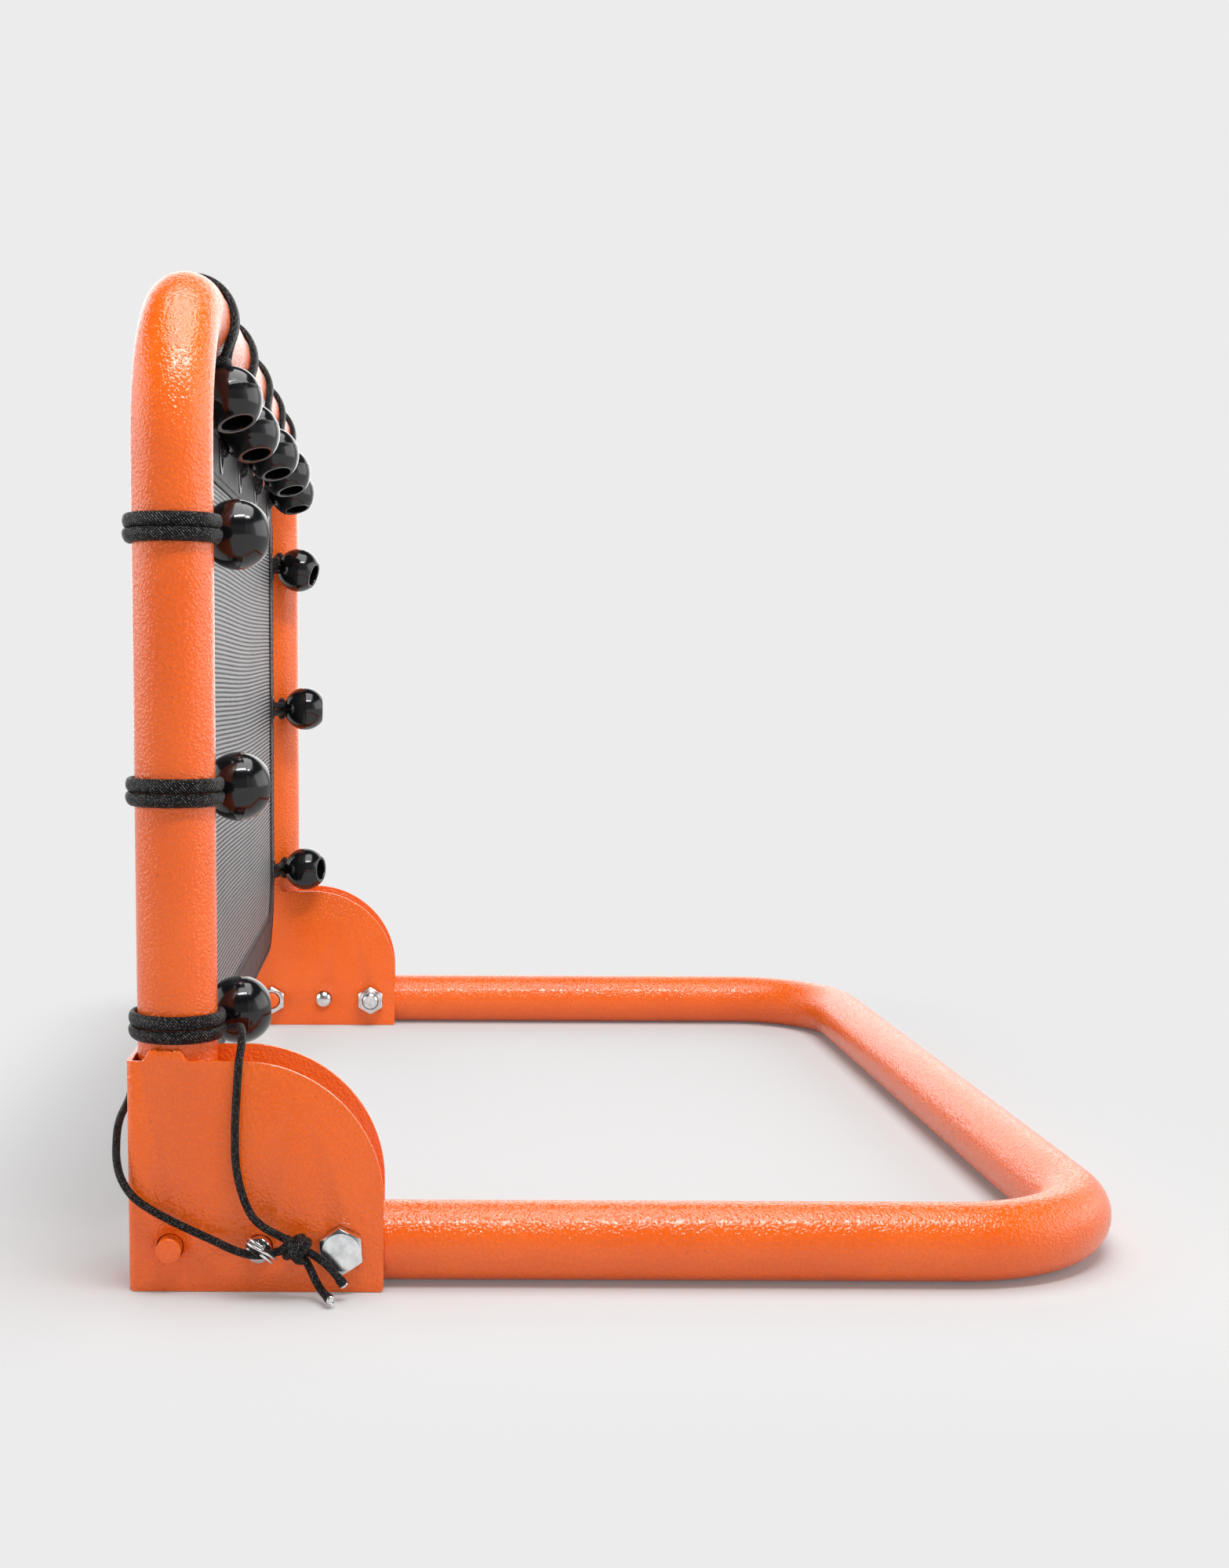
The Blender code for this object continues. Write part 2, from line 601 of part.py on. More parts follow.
def net_and_hem():
    """The mesh panel, and the folded webbing hem that holds its edge in a slot."""
    place = frame_matrix(Vector((1, 0, 0)), UP, -BACK, Vector((0, LEG_Y, 0)))
    slot_inset = HEM_WIDTH - HEM_SLOT_DEPTH
    add_part("rebound_net", plate_mesh([net_outline(slot_inset + FIT_GAP)], NET_THICKNESS), MESH_CLOTH, place)
    outlines = [net_outline(0.0), net_outline(HEM_WIDTH)]
    hole = EYELET_BORE / 2 + EYELET_WALL + FIT_GAP
    for name, point, inward, along, ball, tilt in bungee_places():
        centre = point + inward * EYELET_AXIS
        last = 2 * math.pi * (1 - 1 / EYELET_STEPS)
        outlines.append(arc((centre.x, centre.z), hole, 0, last, EYELET_STEPS - 1))
    hem = add_part("net_hem", plate_mesh(outlines, HEM_THICKNESS), WEBBING, place)
    combine(hem, add_tool("hem_slot", plate_mesh([net_outline(slot_inset)], HEM_SLOT), place))


def eyelet(name, centre):
    """A pressed eyelet through the hem."""
    bore = EYELET_BORE / 2
    barrel = bore + EYELET_WALL
    flange = bore + EYELET_FLANGE
    seat = EYELET_FACE - EYELET_LIP
    profile = [(bore, EYELET_FACE), (flange, seat), (barrel, seat), (barrel, -seat), (flange, -seat),
               (bore, -EYELET_FACE)]
    place = frame_matrix(Vector((1, 0, 0)), UP, -BACK, centre)
    spin(add_part(name, turned_mesh(profile, closed=True), BLACK_STEEL, place), EYELET_STEPS)


def ball_mesh():
    """A hollow ball, open at its flat end, with a small hole for the cord at the other."""
    neck = BALL_NECK / 2
    mouth = BALL_MOUTH / 2
    first = math.asin(neck / BALL_RADIUS)
    last = math.pi - math.acos(BALL_FLAT / BALL_RADIUS)
    steps = 5
    outside = []
    for i in range(steps + 1):
        turn = first + (last - first) * i / steps
        outside.append((BALL_RADIUS * math.sin(turn), BALL_RADIUS * math.cos(turn)))
    inside = [(mouth, -BALL_FLAT), (mouth, BALL_SHOULDER), (neck, BALL_SHOULDER)]
    return turned_mesh(outside + inside, closed=True)


def polar(radius, angle):
    return Vector((radius * math.cos(angle), radius * math.sin(angle), 0.0))


def bungee_route(ball, tilt):
    """Half of a bungee's route, as (to the net, back, along): ball, tube, eyelet, and hook behind the neck."""
    centre = Vector((*ball, 0.0))
    out = polar(1.0, tilt)
    over = polar(1.0, tilt + math.pi / 2)
    along = Vector((0.0, 0.0, 1.0))
    strand = along * (CORD_RADIUS + FIT_GAP)
    near = TUBE_RADIUS + CORD_RADIUS + 3 * FIT_GAP
    reach = centre.dot(out) - math.sqrt(near ** 2 - centre.dot(over) ** 2)
    leave = centre - out * reach
    in_knot = BALL_SHOULDER - KNOT_LENGTH / 4
    route = [centre - out * in_knot + strand, leave + strand]

    face = EYELET_FACE + FIT_GAP + CORD_RADIUS
    edge = EYELET_AXIS - EYELET_BORE / 2 + CORD_RADIUS + 6 * FIT_GAP
    brink = Vector((edge - CORD_DIAMETER * EYELET_BRINK, -face - FIT_GAP, 0.0))
    first = math.atan2(leave.y, leave.x) + WRAP_STEP * TUBE_JOIN
    away = math.atan2(-brink.y, brink.x) + math.acos(WRAP_RADIUS / brink.length)
    turns = math.ceil((2 * math.pi - away - first) / WRAP_STEP)
    for i in range(turns + 1):
        turn = first + (2 * math.pi - away - first) * i / turns
        route.append(polar(WRAP_RADIUS, turn) + strand)
    route += [brink + strand, Vector((edge, -face * EYELET_FRONT, 0.0)) + strand]
    clear = (BALL_RADIUS + CORD_RADIUS + FIT_GAP) * BALL_CLEARANCE
    exit_back = face * EYELET_BACK
    under_ball = centre.x + math.sqrt(max(0.0, clear ** 2 - (centre.y - exit_back) ** 2))
    exit_down = min(max(edge + FIT_GAP, under_ball), 2 * EYELET_AXIS - edge)
    route.append(Vector((exit_down, exit_back, 0.0)) + strand)

    wide = CORD_DIAMETER + CORD_RADIUS + HOOK_SLACK
    high = CORD_DIAMETER + 3 * FIT_GAP
    hook = []
    for turn in HOOK_TURNS:
        aside = along * wide * math.cos(math.radians(turn)) + over * high * math.sin(math.radians(turn))
        hook.append(centre + aside - out * math.sqrt(clear ** 2 - aside.length_squared))
    passing = Vector((edge - CORD_DIAMETER * PASSING_BACK, face + FIT_GAP, 0.0)) - centre
    passing.z = math.sqrt(max(strand.z ** 2, clear ** 2 - passing.length_squared))
    towards = hook[0] - centre
    route.append(centre + passing)
    route.append(centre + passing.slerp(towards, PASSING_TURN).normalized() * clear * PASSING_LIFT)
    return route + hook


def bungee(name, point, inward, along, ball, tilt):
    """One ball bungee: its eyelet, its looped cord with the knot inside the ball, and the ball."""
    place = frame_matrix(inward, BACK, along, point)
    eyelet("eyelet_" + name, point + inward * EYELET_AXIS)
    half = bungee_route(ball, tilt)
    route = half + [Vector((p.x, p.y, -p.z)) for p in reversed(half[:-1])]
    mesh = tube_mesh([place @ p for p in route], CORD_RADIUS, WIRE_SIDES)
    cord = add_part("bungee_" + name, mesh, ELASTIC)
    out = inward * math.cos(tilt) + BACK * math.sin(tilt)
    centre = point + inward * ball[0] + BACK * ball[1]
    ball_place = frame_matrix(along, along.cross(out), -out, centre)
    if ball_place.determinant() < 0:
        ball_place = frame_matrix(along, out.cross(along), -out, centre)
    top = BALL_SHOULDER - FIT_GAP
    knot = KNOT_DIAMETER / 2
    profile = [(0.0, top), (knot, top), (knot, top - KNOT_LENGTH * 0.6), (knot * 0.6, top - KNOT_LENGTH),
               (0.0, top - KNOT_LENGTH)]
    combine(cord, spin(add_tool("knot", turned_mesh(profile), ball_place), KNOT_STEPS), "UNION")
    spin(add_part("ball_" + name, ball_mesh(), BALL_PLASTIC, ball_place), BALL_STEPS)


def smooth_route(points, spacing):
    """Points at an even spacing on a Catmull-Rom curve through a cord's route."""
    ends = [points[0] * 2 - points[1]] + points + [points[-1] * 2 - points[-2]]
    fine = []
    for p0, p1, p2, p3 in zip(ends, ends[1:], ends[2:], ends[3:]):
        for i in range(ROUTE_SAMPLES):
            t = i / ROUTE_SAMPLES
            fine.append(0.5 * (2 * p1 + (p2 - p0) * t + (2 * p0 - 5 * p1 + 4 * p2 - p3) * t ** 2
                               + (3 * p1 - p0 - 3 * p2 + p3) * t ** 3))
    fine.append(points[-1])
    length = sum((b - a).length for a, b in zip(fine, fine[1:]))
    count = max(2, round(length / spacing))
    even = [fine[0]]
    walked = 0.0
    for a, b in zip(fine, fine[1:]):
        step = (b - a).length
        while len(even) < count and walked + step >= length * len(even) / count:
            share = (length * len(even) / count - walked) / step
            even.append(a + (b - a) * share)
        walked += step
    even.append(fine[-1])
    return even


# Routes of the tether cord, from the foot of the right leg: outward, back, up
UPPER_STRAND = ((-0.0040, 0.0228, 0.1024), (0.0020, 0.0246, 0.1040), (0.0085, 0.0262, 0.1046),
                (0.0140, 0.0270, 0.1026), (0.0180, 0.0270, 0.0985), (0.0204, 0.0262, 0.0925),
                (0.0214, 0.0250, 0.0740), (0.0214, 0.0247, 0.0650), (0.0216, 0.0248, 0.0550),
                (0.0222, 0.0260, 0.0465), (0.0236, 0.0285, 0.0385), (0.0252, 0.0318, 0.0325),
                (0.0264, 0.0362, 0.0288), (0.0272, 0.0405, 0.0266), (0.0276, 0.0440, 0.0249))
LOWER_STRAND = ((-0.0205, -0.0112, 0.0984), (-0.0214, -0.0140, 0.0940), (-0.0208, -0.0172, 0.0885),
                (-0.0186, -0.0196, 0.0826), (-0.0152, -0.0206, 0.0768), (-0.0110, -0.0212, 0.0722),
                (-0.0060, -0.0222, 0.0694), (0.0000, -0.0232, 0.0668), (0.0060, -0.0236, 0.0636),
                (0.0115, -0.0234, 0.0590), (0.0165, -0.0226, 0.0525), (0.0202, -0.0202, 0.0460),
                (0.0224, -0.0155, 0.0398), (0.0228, -0.0090, 0.0350), (0.0230, -0.0015, 0.0308),
                (0.0236, 0.0070, 0.0268), (0.0252, 0.0160, 0.0232), (0.0276, 0.0245, 0.0200),
                (0.0290, 0.0320, 0.0184), (0.0292, 0.0380, 0.0188), (0.0286, 0.0428, 0.0199))
UPPER_TAIL = ((0.0284, 0.0538, 0.0195), (0.0290, 0.0572, 0.0176), (0.0292, 0.0606, 0.0150),
              (0.0292, 0.0636, 0.0118), (0.0292, 0.0658, 0.0090))
LOWER_TAIL = ((0.0276, 0.0520, 0.0166), (0.0284, 0.0543, 0.0130), (0.0292, 0.0562, 0.0092),
              (0.0304, 0.0580, 0.0062), (0.0322, 0.0598, 0.0043), (0.0350, 0.0614, 0.0037))
KNOT_PLACE = (0.0278, 0.0485, 0.0213)


def tether():
    """The thin elastic cord that keeps the right lock pin on the frame."""
    cords = (("strand_upper", UPPER_STRAND), ("strand_lower", LOWER_STRAND),
             ("tail_upper", UPPER_TAIL), ("tail_lower", LOWER_TAIL))
    for name, route in cords:
        points = smooth_route([at_bracket(1, *p) for p in route], TETHER_STEP)
        add_part("tether_" + name, tube_mesh(points, TETHER_DIAMETER / 2, CORD_SIDES), ELASTIC)
        if route in (UPPER_TAIL, LOWER_TAIL):
            way = (points[-1] - points[-2]).normalized()
            first = points[-1] + way * FIT_GAP
            tip = tube_mesh([first, first + way * TIP_LENGTH], TIP_DIAMETER / 2, CORD_SIDES)
            add_part("tip_" + name, tip, ZINC)
    work = bmesh.new()
    bmesh.ops.create_uvsphere(work, u_segments=12, v_segments=8, radius=TETHER_KNOT / 2)
    mesh = bpy.data.meshes.new("knot")
    work.to_mesh(mesh)
    work.free()
    add_part("tether_knot", mesh, ELASTIC, Matrix.Translation(at_bracket(1, *KNOT_PLACE)))


upright_frame()
base_frame()
for side_sign, side_name in ((1, "right"), (-1, "left")):
    bracket(side_sign, "bracket_" + side_name)
    pivot_bolt(side_sign, "pivot_bolt_" + side_name)
    nut(side_sign, "pivot_nut_" + side_name, BOLT_BACK, True)
    cross_stud(side_sign, "cross_stud_" + side_name)
    nut(side_sign, "stud_nut_" + side_name, STUD_BACK, False)
    lock_pin(side_sign, "lock_pin_" + side_name)
    pin_ring(side_sign, "pin_ring_" + side_name)
net_and_hem()
for bungee_place in bungee_places():
    bungee(*bungee_place)
tether()
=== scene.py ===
"""The looks of the folding football rebounder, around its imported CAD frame.

Metres, +Z up, in the CAD's own frame: the play face looks toward -Y, the base reaches toward +Y and the
right leg, nearest the camera, stands at +X.
"""
import json
import math

import bmesh
import bpy
import numpy as np
from mathutils import Matrix, Vector

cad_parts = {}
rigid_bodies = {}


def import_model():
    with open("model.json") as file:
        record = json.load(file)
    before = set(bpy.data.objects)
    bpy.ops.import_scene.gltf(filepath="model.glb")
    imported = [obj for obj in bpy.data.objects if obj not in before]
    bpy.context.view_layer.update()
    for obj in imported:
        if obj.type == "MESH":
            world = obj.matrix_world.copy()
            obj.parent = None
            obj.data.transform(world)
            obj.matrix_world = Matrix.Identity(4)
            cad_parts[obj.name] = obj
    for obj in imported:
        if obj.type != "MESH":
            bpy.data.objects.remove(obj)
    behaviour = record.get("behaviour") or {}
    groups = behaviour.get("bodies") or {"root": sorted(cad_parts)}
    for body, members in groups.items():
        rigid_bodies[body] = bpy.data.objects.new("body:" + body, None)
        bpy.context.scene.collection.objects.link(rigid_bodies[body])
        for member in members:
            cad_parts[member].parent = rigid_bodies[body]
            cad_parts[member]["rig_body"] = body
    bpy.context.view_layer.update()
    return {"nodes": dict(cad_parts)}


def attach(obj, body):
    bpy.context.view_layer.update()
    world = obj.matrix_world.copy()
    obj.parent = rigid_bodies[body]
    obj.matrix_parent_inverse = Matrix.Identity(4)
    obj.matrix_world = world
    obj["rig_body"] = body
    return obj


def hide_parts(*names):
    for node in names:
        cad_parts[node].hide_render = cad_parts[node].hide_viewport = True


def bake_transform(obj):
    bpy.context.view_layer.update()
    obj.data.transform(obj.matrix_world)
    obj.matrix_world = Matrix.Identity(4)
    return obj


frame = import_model()
BODY_OF = {node: item["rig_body"] for node, item in frame["nodes"].items()}

# Sizes of the frame, as the CAD has them
LEG_SPACING = 0.560
FRAME_HEIGHT = 0.4087
BASE_REACH = 0.3805
FIT_GAP = 0.0003
TUBE_RADIUS = 0.016
TUBE_WALL = 0.0015
TOP_BEND_RADIUS = 0.064
BASE_BEND_RADIUS = 0.063
LEG_FOOT_HEIGHT = 0.0025
BASE_START = 0.0215
LEG_X = LEG_SPACING / 2
LEG_Y = -0.187306
BAR_HEIGHT = FRAME_HEIGHT - TUBE_RADIUS

# Brackets and what goes through them
BRACKET_HEIGHT = 0.0930
BRACKET_REACH = 0.0830
BRACKET_ROUND = 0.0562
BRACKET_NIP = 0.0020
BRACKET_SHEET = 0.0020
BRACKET_FOLD = 0.0035
CHEEK_IN = TUBE_RADIUS + 0.0004
CHEEK_OUT = CHEEK_IN + BRACKET_SHEET
SEAT = CHEEK_OUT + FIT_GAP         # of the bolt heads and nuts
WEB_FRONT = TUBE_RADIUS + FIT_GAP + BRACKET_SHEET
WELD_WIDTH = 0.0058
WELD_HEIGHT = 0.0042
WELD_ROOT = 0.0008
WELD_RAMP = 0.34           # share of half the weld's length in which an end comes down
WELD_LENGTH = 0.0178
WELD_SETBACK = -0.003
HOLE_HEIGHT = 0.0183
STUD_BACK = -0.0016
PIN_BACK = 0.0338
BOLT_BACK = 0.0663
SHANK_RADIUS = 0.0050
HOLE_RADIUS = 0.0054
HEX_ACROSS = 0.0163
HEX_FACE = 0.925           # share of the width across flats that the chamfer leaves flat
HEX_HEAD = 0.0064
NUT_HEIGHT = 0.0080
LOCK_COLLAR = 0.0022
THREAD_SHOW = 0.0016
THREAD_PITCH = 0.0008
THREAD_DEPTH = 0.00042
STUD_PROUD = 0.0065
HEX_TURN = math.radians(4)
PIN_PROUD_OUT = 0.0072
PIN_PROUD_IN = 0.0055
PIN_DOME = 0.0022
RING_HOLE = 0.0048
RING_HOLE_SETBACK = 0.0036
RING_HALF_WIRE = (0.00052, 0.00050)
RING_RADIUS = 0.0068
RING_THROW = 0.0056
RING_PITCH = 0.0013
RIGHT_RING_SLOPE = math.radians(-37)
RIGHT_RING_LEAN = math.radians(18)

# Net, hem and eyelets
NET_GAP = 0.035
NET_BOTTOM = 0.060
NET_CORNER_TOP = 0.030
NET_CORNER_BOTTOM = 0.050
HEM_WIDTH = 0.025
HEM_THICKNESS = 0.0026
HEM_SLOT_DEPTH = 0.007
HEM_SLOT = 0.0016
NET_INSET = HEM_WIDTH - HEM_SLOT_DEPTH + FIT_GAP
EYELET_AXIS = 0.045
EYELET_BORE = 0.0062
EYELET_WALL = 0.0006
EYELET_FLANGE = 0.0030
EYELET_LIP = 0.0005
HEM_WAVES = ((0.00012, 0.0370, 0.0), (0.00008, 0.0113, 1.0))      # rise, length and start
RIB_PITCH = 0.0023
RIB_HEIGHT = 0.00034
GROOVE_HEIGHT = 0.00012        # of the cloth between the ribs, from its middle
RIB_WANDER = 0.0011
ROWS_PER_RIB = 6
NET_COLUMNS = 56
YARN_PITCH = 0.00115
WEAVE_PITCH = 0.0009
STITCH_ROWS = (0.0035, 0.0215)
STITCH_DENT = 0.00022
STITCH_PITCH = 0.0042
STITCH_LENGTH = 0.0030
STITCH_RADIUS = 0.00024
STITCH_LIFT = (0.00095, 0.00135, 0.00095)      # of a stitch's ends and middle above the hem's middle plane

# Ball bungees
CORD_RADIUS = 0.0022
BALL_RADIUS = 0.0142
BALL_MOUTH = 0.0068
BALL_NECK = 0.0049
BALL_FLAT = 0.0113
BALL_SHOULDER = 0.0040
NECK_STRAND = 0.0023       # of a cord's middle from the middle of the ball's neck
WRAP_THIN = 0.0016         # half of the stretched cord's thickness, where it is pressed flat on the tube
WRAP_WIDE = 0.0028
WRAP_LINE = TUBE_RADIUS + WRAP_THIN + 0.00015
PRESS_REACH = 0.0035       # how far past the wrap's line the cord starts to flatten
PRESS_FADE = 0.0030
LEAN_REACH = 0.012         # how far past the ball its lean still turns the cord
LEAN_FADE = 0.008
# Each bungee's place up its leg or along the bar, its ball's gaps to the tube and behind the tube's middle,
# and the degrees by which the ball's mouth turns to the back and leans along the tube
BUNGEES = {
    "right_1": (0.1050, -0.0001, 0.0080, 70, 0), "right_2": (0.1980, -0.0001, 0.0080, 70, 0),
    "right_3": (0.3000, -0.0001, 0.0080, 70, 0), "left_1": (0.1100, -0.0001, 0.0080, 70, 0),
    "left_2": (0.2185, -0.0001, 0.0080, 96, 0), "left_3": (0.3106, -0.0001, 0.0038, 74, -18),
    "top_1": (-0.2000, 0.0056, 0.0030, 15, 12), "top_2": (-0.1000, 0.0030, 0.0057, 15, 14),
    "top_3": (0.0, 0.0034, 0.0047, 15, 16), "top_4": (0.1000, 0.0044, 0.0014, 15, 16),
    "top_5": (0.2000, 0.0023, 0.0010, 18, 16)}

# Tether on the right lock pin: outward, back and up from the foot of the right leg
TETHER_RADIUS = 0.0016
UPPER_ROUTE = ((-0.0085, 0.0199, 0.1014), (-0.0040, 0.0228, 0.1024), (0.0020, 0.0246, 0.1040),
               (0.0085, 0.0262, 0.1046), (0.0140, 0.0270, 0.1026), (0.0180, 0.0270, 0.0985),
               (0.0204, 0.0262, 0.0925), (0.0214, 0.0250, 0.0740), (0.0214, 0.0247, 0.0650),
               (0.0216, 0.0248, 0.0550), (0.0222, 0.0260, 0.0465), (0.0236, 0.0285, 0.0385),
               (0.0252, 0.0318, 0.0325), (0.0264, 0.0362, 0.0288), (0.0272, 0.0405, 0.0266),
               (0.0276, 0.0440, 0.0249), (0.0279, 0.0488, 0.0222), (0.0284, 0.0538, 0.0195),
               (0.0290, 0.0572, 0.0176), (0.0292, 0.0606, 0.0150), (0.0292, 0.0636, 0.0118),
               (0.0292, 0.0658, 0.0090))
LOWER_ROUTE = ((-0.0205, -0.0112, 0.0984), (-0.0214, -0.0140, 0.0940), (-0.0208, -0.0172, 0.0885),
               (-0.0186, -0.0196, 0.0826), (-0.0152, -0.0206, 0.0768), (-0.0110, -0.0212, 0.0722),
               (-0.0060, -0.0222, 0.0694), (0.0000, -0.0232, 0.0668), (0.0060, -0.0236, 0.0636),
               (0.0115, -0.0234, 0.0590), (0.0165, -0.0226, 0.0525), (0.0202, -0.0202, 0.0460),
               (0.0224, -0.0155, 0.0398), (0.0228, -0.0090, 0.0350), (0.0230, -0.0015, 0.0308),
               (0.0236, 0.0070, 0.0268), (0.0252, 0.0160, 0.0232), (0.0276, 0.0245, 0.0200),
               (0.0290, 0.0320, 0.0184), (0.0292, 0.0380, 0.0188), (0.0286, 0.0428, 0.0199),
               (0.0279, 0.0480, 0.0190), (0.0276, 0.0520, 0.0166), (0.0284, 0.0543, 0.0130),
               (0.0292, 0.0562, 0.0092), (0.0304, 0.0580, 0.0062), (0.0322, 0.0598, 0.0043),
               (0.0350, 0.0614, 0.0037))
KNOT_PLACE = (0.0278, 0.0485, 0.0213)
KNOT_WAY = (0.05, 0.86, -0.50)
KNOT_STRAND = 0.0017
KNOT_START = -0.9          # radians
KNOT_TURNS = 2.45
KNOT_COIL = 0.0032
KNOT_BULGE = 0.0014
KNOT_LENGTH = 0.0068
KNOT_SLANT = 0.0016
KNOT_BRIDGE = ((0.0049, 0.0018, 0.0027), (0.0030, 0.0040, 0.0026), (0.0003, 0.0048, 0.0010),
               (-0.0024, 0.0044, -0.0011), (-0.0049, 0.0022, -0.0021))
TIP_LENGTH = 0.0035
TIP_RADIUS = 0.00185

# The photograph's camera
CAMERA_PLACE = (1.021459, -0.094896, 0.2474245)
CAMERA_TURNS = (-0.000803, 0.11549, -0.003781)     # yaw, pitch and roll
CAMERA_LENS = 43.1237
CAMERA_SHIFT = (0.13212, 0.06367)
SENSOR_HEIGHT = 36.0

UP = Vector((0, 0, 1))
BACK = Vector((0, 1, 0))
RIGHT = Vector((1, 0, 0))


# Camera

def add_object(name, data):
    """A new object in the scene."""
    item = bpy.data.objects.new(name, data)
    bpy.context.scene.collection.objects.link(item)
    return item


def add_camera():
    """The photograph's viewpoint: level with the lower half, looking along -X, framed by a lens shift."""
    data = bpy.data.cameras.new("camera")
    data.sensor_fit = "VERTICAL"
    data.sensor_height = SENSOR_HEIGHT
    data.lens = CAMERA_LENS
    data.shift_x, data.shift_y = CAMERA_SHIFT
    data.clip_start = 0.01
    camera = add_object("camera", data)
    camera.matrix_world = Matrix.Translation(CAMERA_PLACE) @ Matrix((BACK, UP, RIGHT)).transposed().to_4x4()
    for axis, turn in zip("YXZ", CAMERA_TURNS):
        camera.matrix_world = camera.matrix_world @ Matrix.Rotation(-turn, 4, axis)
    bpy.context.scene.camera = camera


add_camera()


# Materials

class Nodes:
    """A node tree, with a short call for each node that is used more than once."""

    def __init__(self, tree):
        self.tree = tree

    def add(self, kind, links=(), **settings):
        node = self.tree.nodes.new(kind)
        for key, value in settings.items():
            setattr(node, key, value)
        for socket, value in links:
            if isinstance(value, bpy.types.NodeSocket):
                self.tree.links.new(value, node.inputs[socket])
            else:
                node.inputs[socket].default_value = value
        return node

    def spread(self, value, low, high, start=0.0, end=1.0, kind="LINEAR"):
        """Maps a value from low..high to start..end, and holds it there beyond."""
        links = [("Value", value), ("From Min", low), ("From Max", high), ("To Min", start), ("To Max", end)]
        return self.add("ShaderNodeMapRange", links, interpolation_type=kind).outputs["Result"]

    def math(self, operation, a, b=0.0):
        return self.add("ShaderNodeMath", [(0, a), (1, b)], operation=operation).outputs["Value"]

    def wave(self, value, pitch=1.0, operation="SINE"):
        """A sine or cosine with one turn for each pitch."""
        return self.math(operation, self.math("MULTIPLY", value, 2 * math.pi / pitch))

    def axes(self, coordinates):
        """The X, Y and Z of texture coordinates."""
        vector = self.add("ShaderNodeTexCoord").outputs[coordinates]
        return self.add("ShaderNodeSeparateXYZ", [("Vector", vector)]).outputs

    def mix(self, share, a, b):
        colours = [(*c, 1.0) if isinstance(c, tuple) else c for c in (a, b)]
        links = [("Factor", share), (6, colours[0]), (7, colours[1])]
        return self.add("ShaderNodeMix", links, data_type="RGBA").outputs[2]

    def background_rays(self):
        """1 for rays from the camera, also by way of metal or glass, which all show the background."""
        rays = self.add("ShaderNodeLightPath").outputs
        through = self.math("MAXIMUM", rays["Is Glossy Ray"], rays["Is Transmission Ray"])
        return self.math("MAXIMUM", rays["Is Camera Ray"], through)


class Finish(Nodes):
    """A material's node tree around its shader, in the object's own coordinates."""

    def __init__(self, name, colour, roughness, metallic=0.0, **sockets):
        self.material = bpy.data.materials.new(name)
        self.material.use_nodes = True
        super().__init__(self.material.node_tree)
        self.colour = colour
        self.shader = self.tree.nodes["Principled BSDF"]
        self.shader.inputs["Base Color"].default_value = (*colour, 1.0)
        self.shader.inputs["Roughness"].default_value = roughness
        self.shader.inputs["Metallic"].default_value = metallic
        for socket, value in sockets.items():
            self.shader.inputs[socket.replace("_", " ")].default_value = value
        self.place = self.add("ShaderNodeTexCoord").outputs["Object"]
        self.normal = None

    def noise(self, scale, detail=2.0, stretch=None):
        links = [("Vector", self.place), ("Scale", scale), ("Detail", detail)]
        if stretch:
            mapping = self.add("ShaderNodeMapping", [("Vector", self.place), ("Scale", stretch)])
            links[0] = ("Vector", mapping.outputs["Vector"])
        return self.add("ShaderNodeTexNoise", links).outputs["Fac"]

    def bump(self, height, distance, strength=1.0):
        links = [("Height", height), ("Distance", distance), ("Strength", strength)]
        if self.normal:
            links.append(("Normal", self.normal))
        self.normal = self.add("ShaderNodeBump", links).outputs["Normal"]

    def set(self, socket, value):
        self.tree.links.new(value, self.shader.inputs[socket])

    def done(self):
        if self.normal:
            self.set("Normal", self.normal)
        return self.material


def powder_coat():
    """Orange powder coat: an even gloss over a pebbled skin, cells about a millimetre across, with painted
    shade in their grooves.
    """
    f = Finish("orange_powder_coat", (0.88, 0.133, 0.008), 0.20, Specular_IOR_Level=0.62)
    swirl = f.add("ShaderNodeTexNoise", [("Vector", f.place), ("Scale", 520.0), ("Detail", 1.0)])
    reach = (0.0011, 0.0011, 0.0011)
    shift = f.add("ShaderNodeVectorMath", [(0, swirl.outputs["Color"]), (1, reach)], operation="MULTIPLY")
    bent = f.add("ShaderNodeVectorMath", [(0, f.place), (1, shift.outputs[0])], operation="ADD").outputs[0]
    cells = f.add("ShaderNodeTexVoronoi", [("Vector", bent), ("Scale", 760.0), ("Smoothness", 0.40)],
                  feature="SMOOTH_F1").outputs["Distance"]
    pebbles = f.spread(cells, 0.05, 0.62, 1.0, 0.0)
    patches = f.noise(24.0, 3.0)
    tone = f.mix(f.spread(patches, 0.35, 0.65), (0.855, 0.124, 0.007), (0.905, 0.142, 0.009))
    # Painted shade: the colour darkens to a deeper orange in the grooves between the pebbles, where their
    # relief would be shaded.
    grooves = f.mix(f.spread(pebbles, 0.0, 0.45, 0.20, 0.0), tone, (0.60, 0.070, 0.006))
    dust = f.spread(f.noise(330.0, 4.0), 0.735, 0.77)
    f.set("Base Color", f.mix(f.math("MULTIPLY", dust, 0.5), grooves, (0.42, 0.055, 0.01)))
    f.set("Roughness", f.spread(patches, 0.3, 0.7, 0.17, 0.23))
    f.bump(pebbles, 0.00021)
    f.bump(f.noise(250.0), 0.0003, 0.25)
    return f.done()


def plated(name, colour, rough_low, rough_high, scratch):
    """Plated or polished steel with fine scratches and a patchy shine."""
    f = Finish(name, colour, rough_low, 1.0)
    patches = f.noise(300.0, 3.0)
    f.set("Roughness", f.spread(patches, 0.3, 0.7, rough_low, rough_high))
    f.set("Base Color", f.mix(f.spread(patches, 0.42, 0.68), colour, tuple(c * 0.80 for c in colour)))
    f.bump(f.noise(1100.0, stretch=(1.0, 1.0, 6.0)), scratch)
    return f.done()


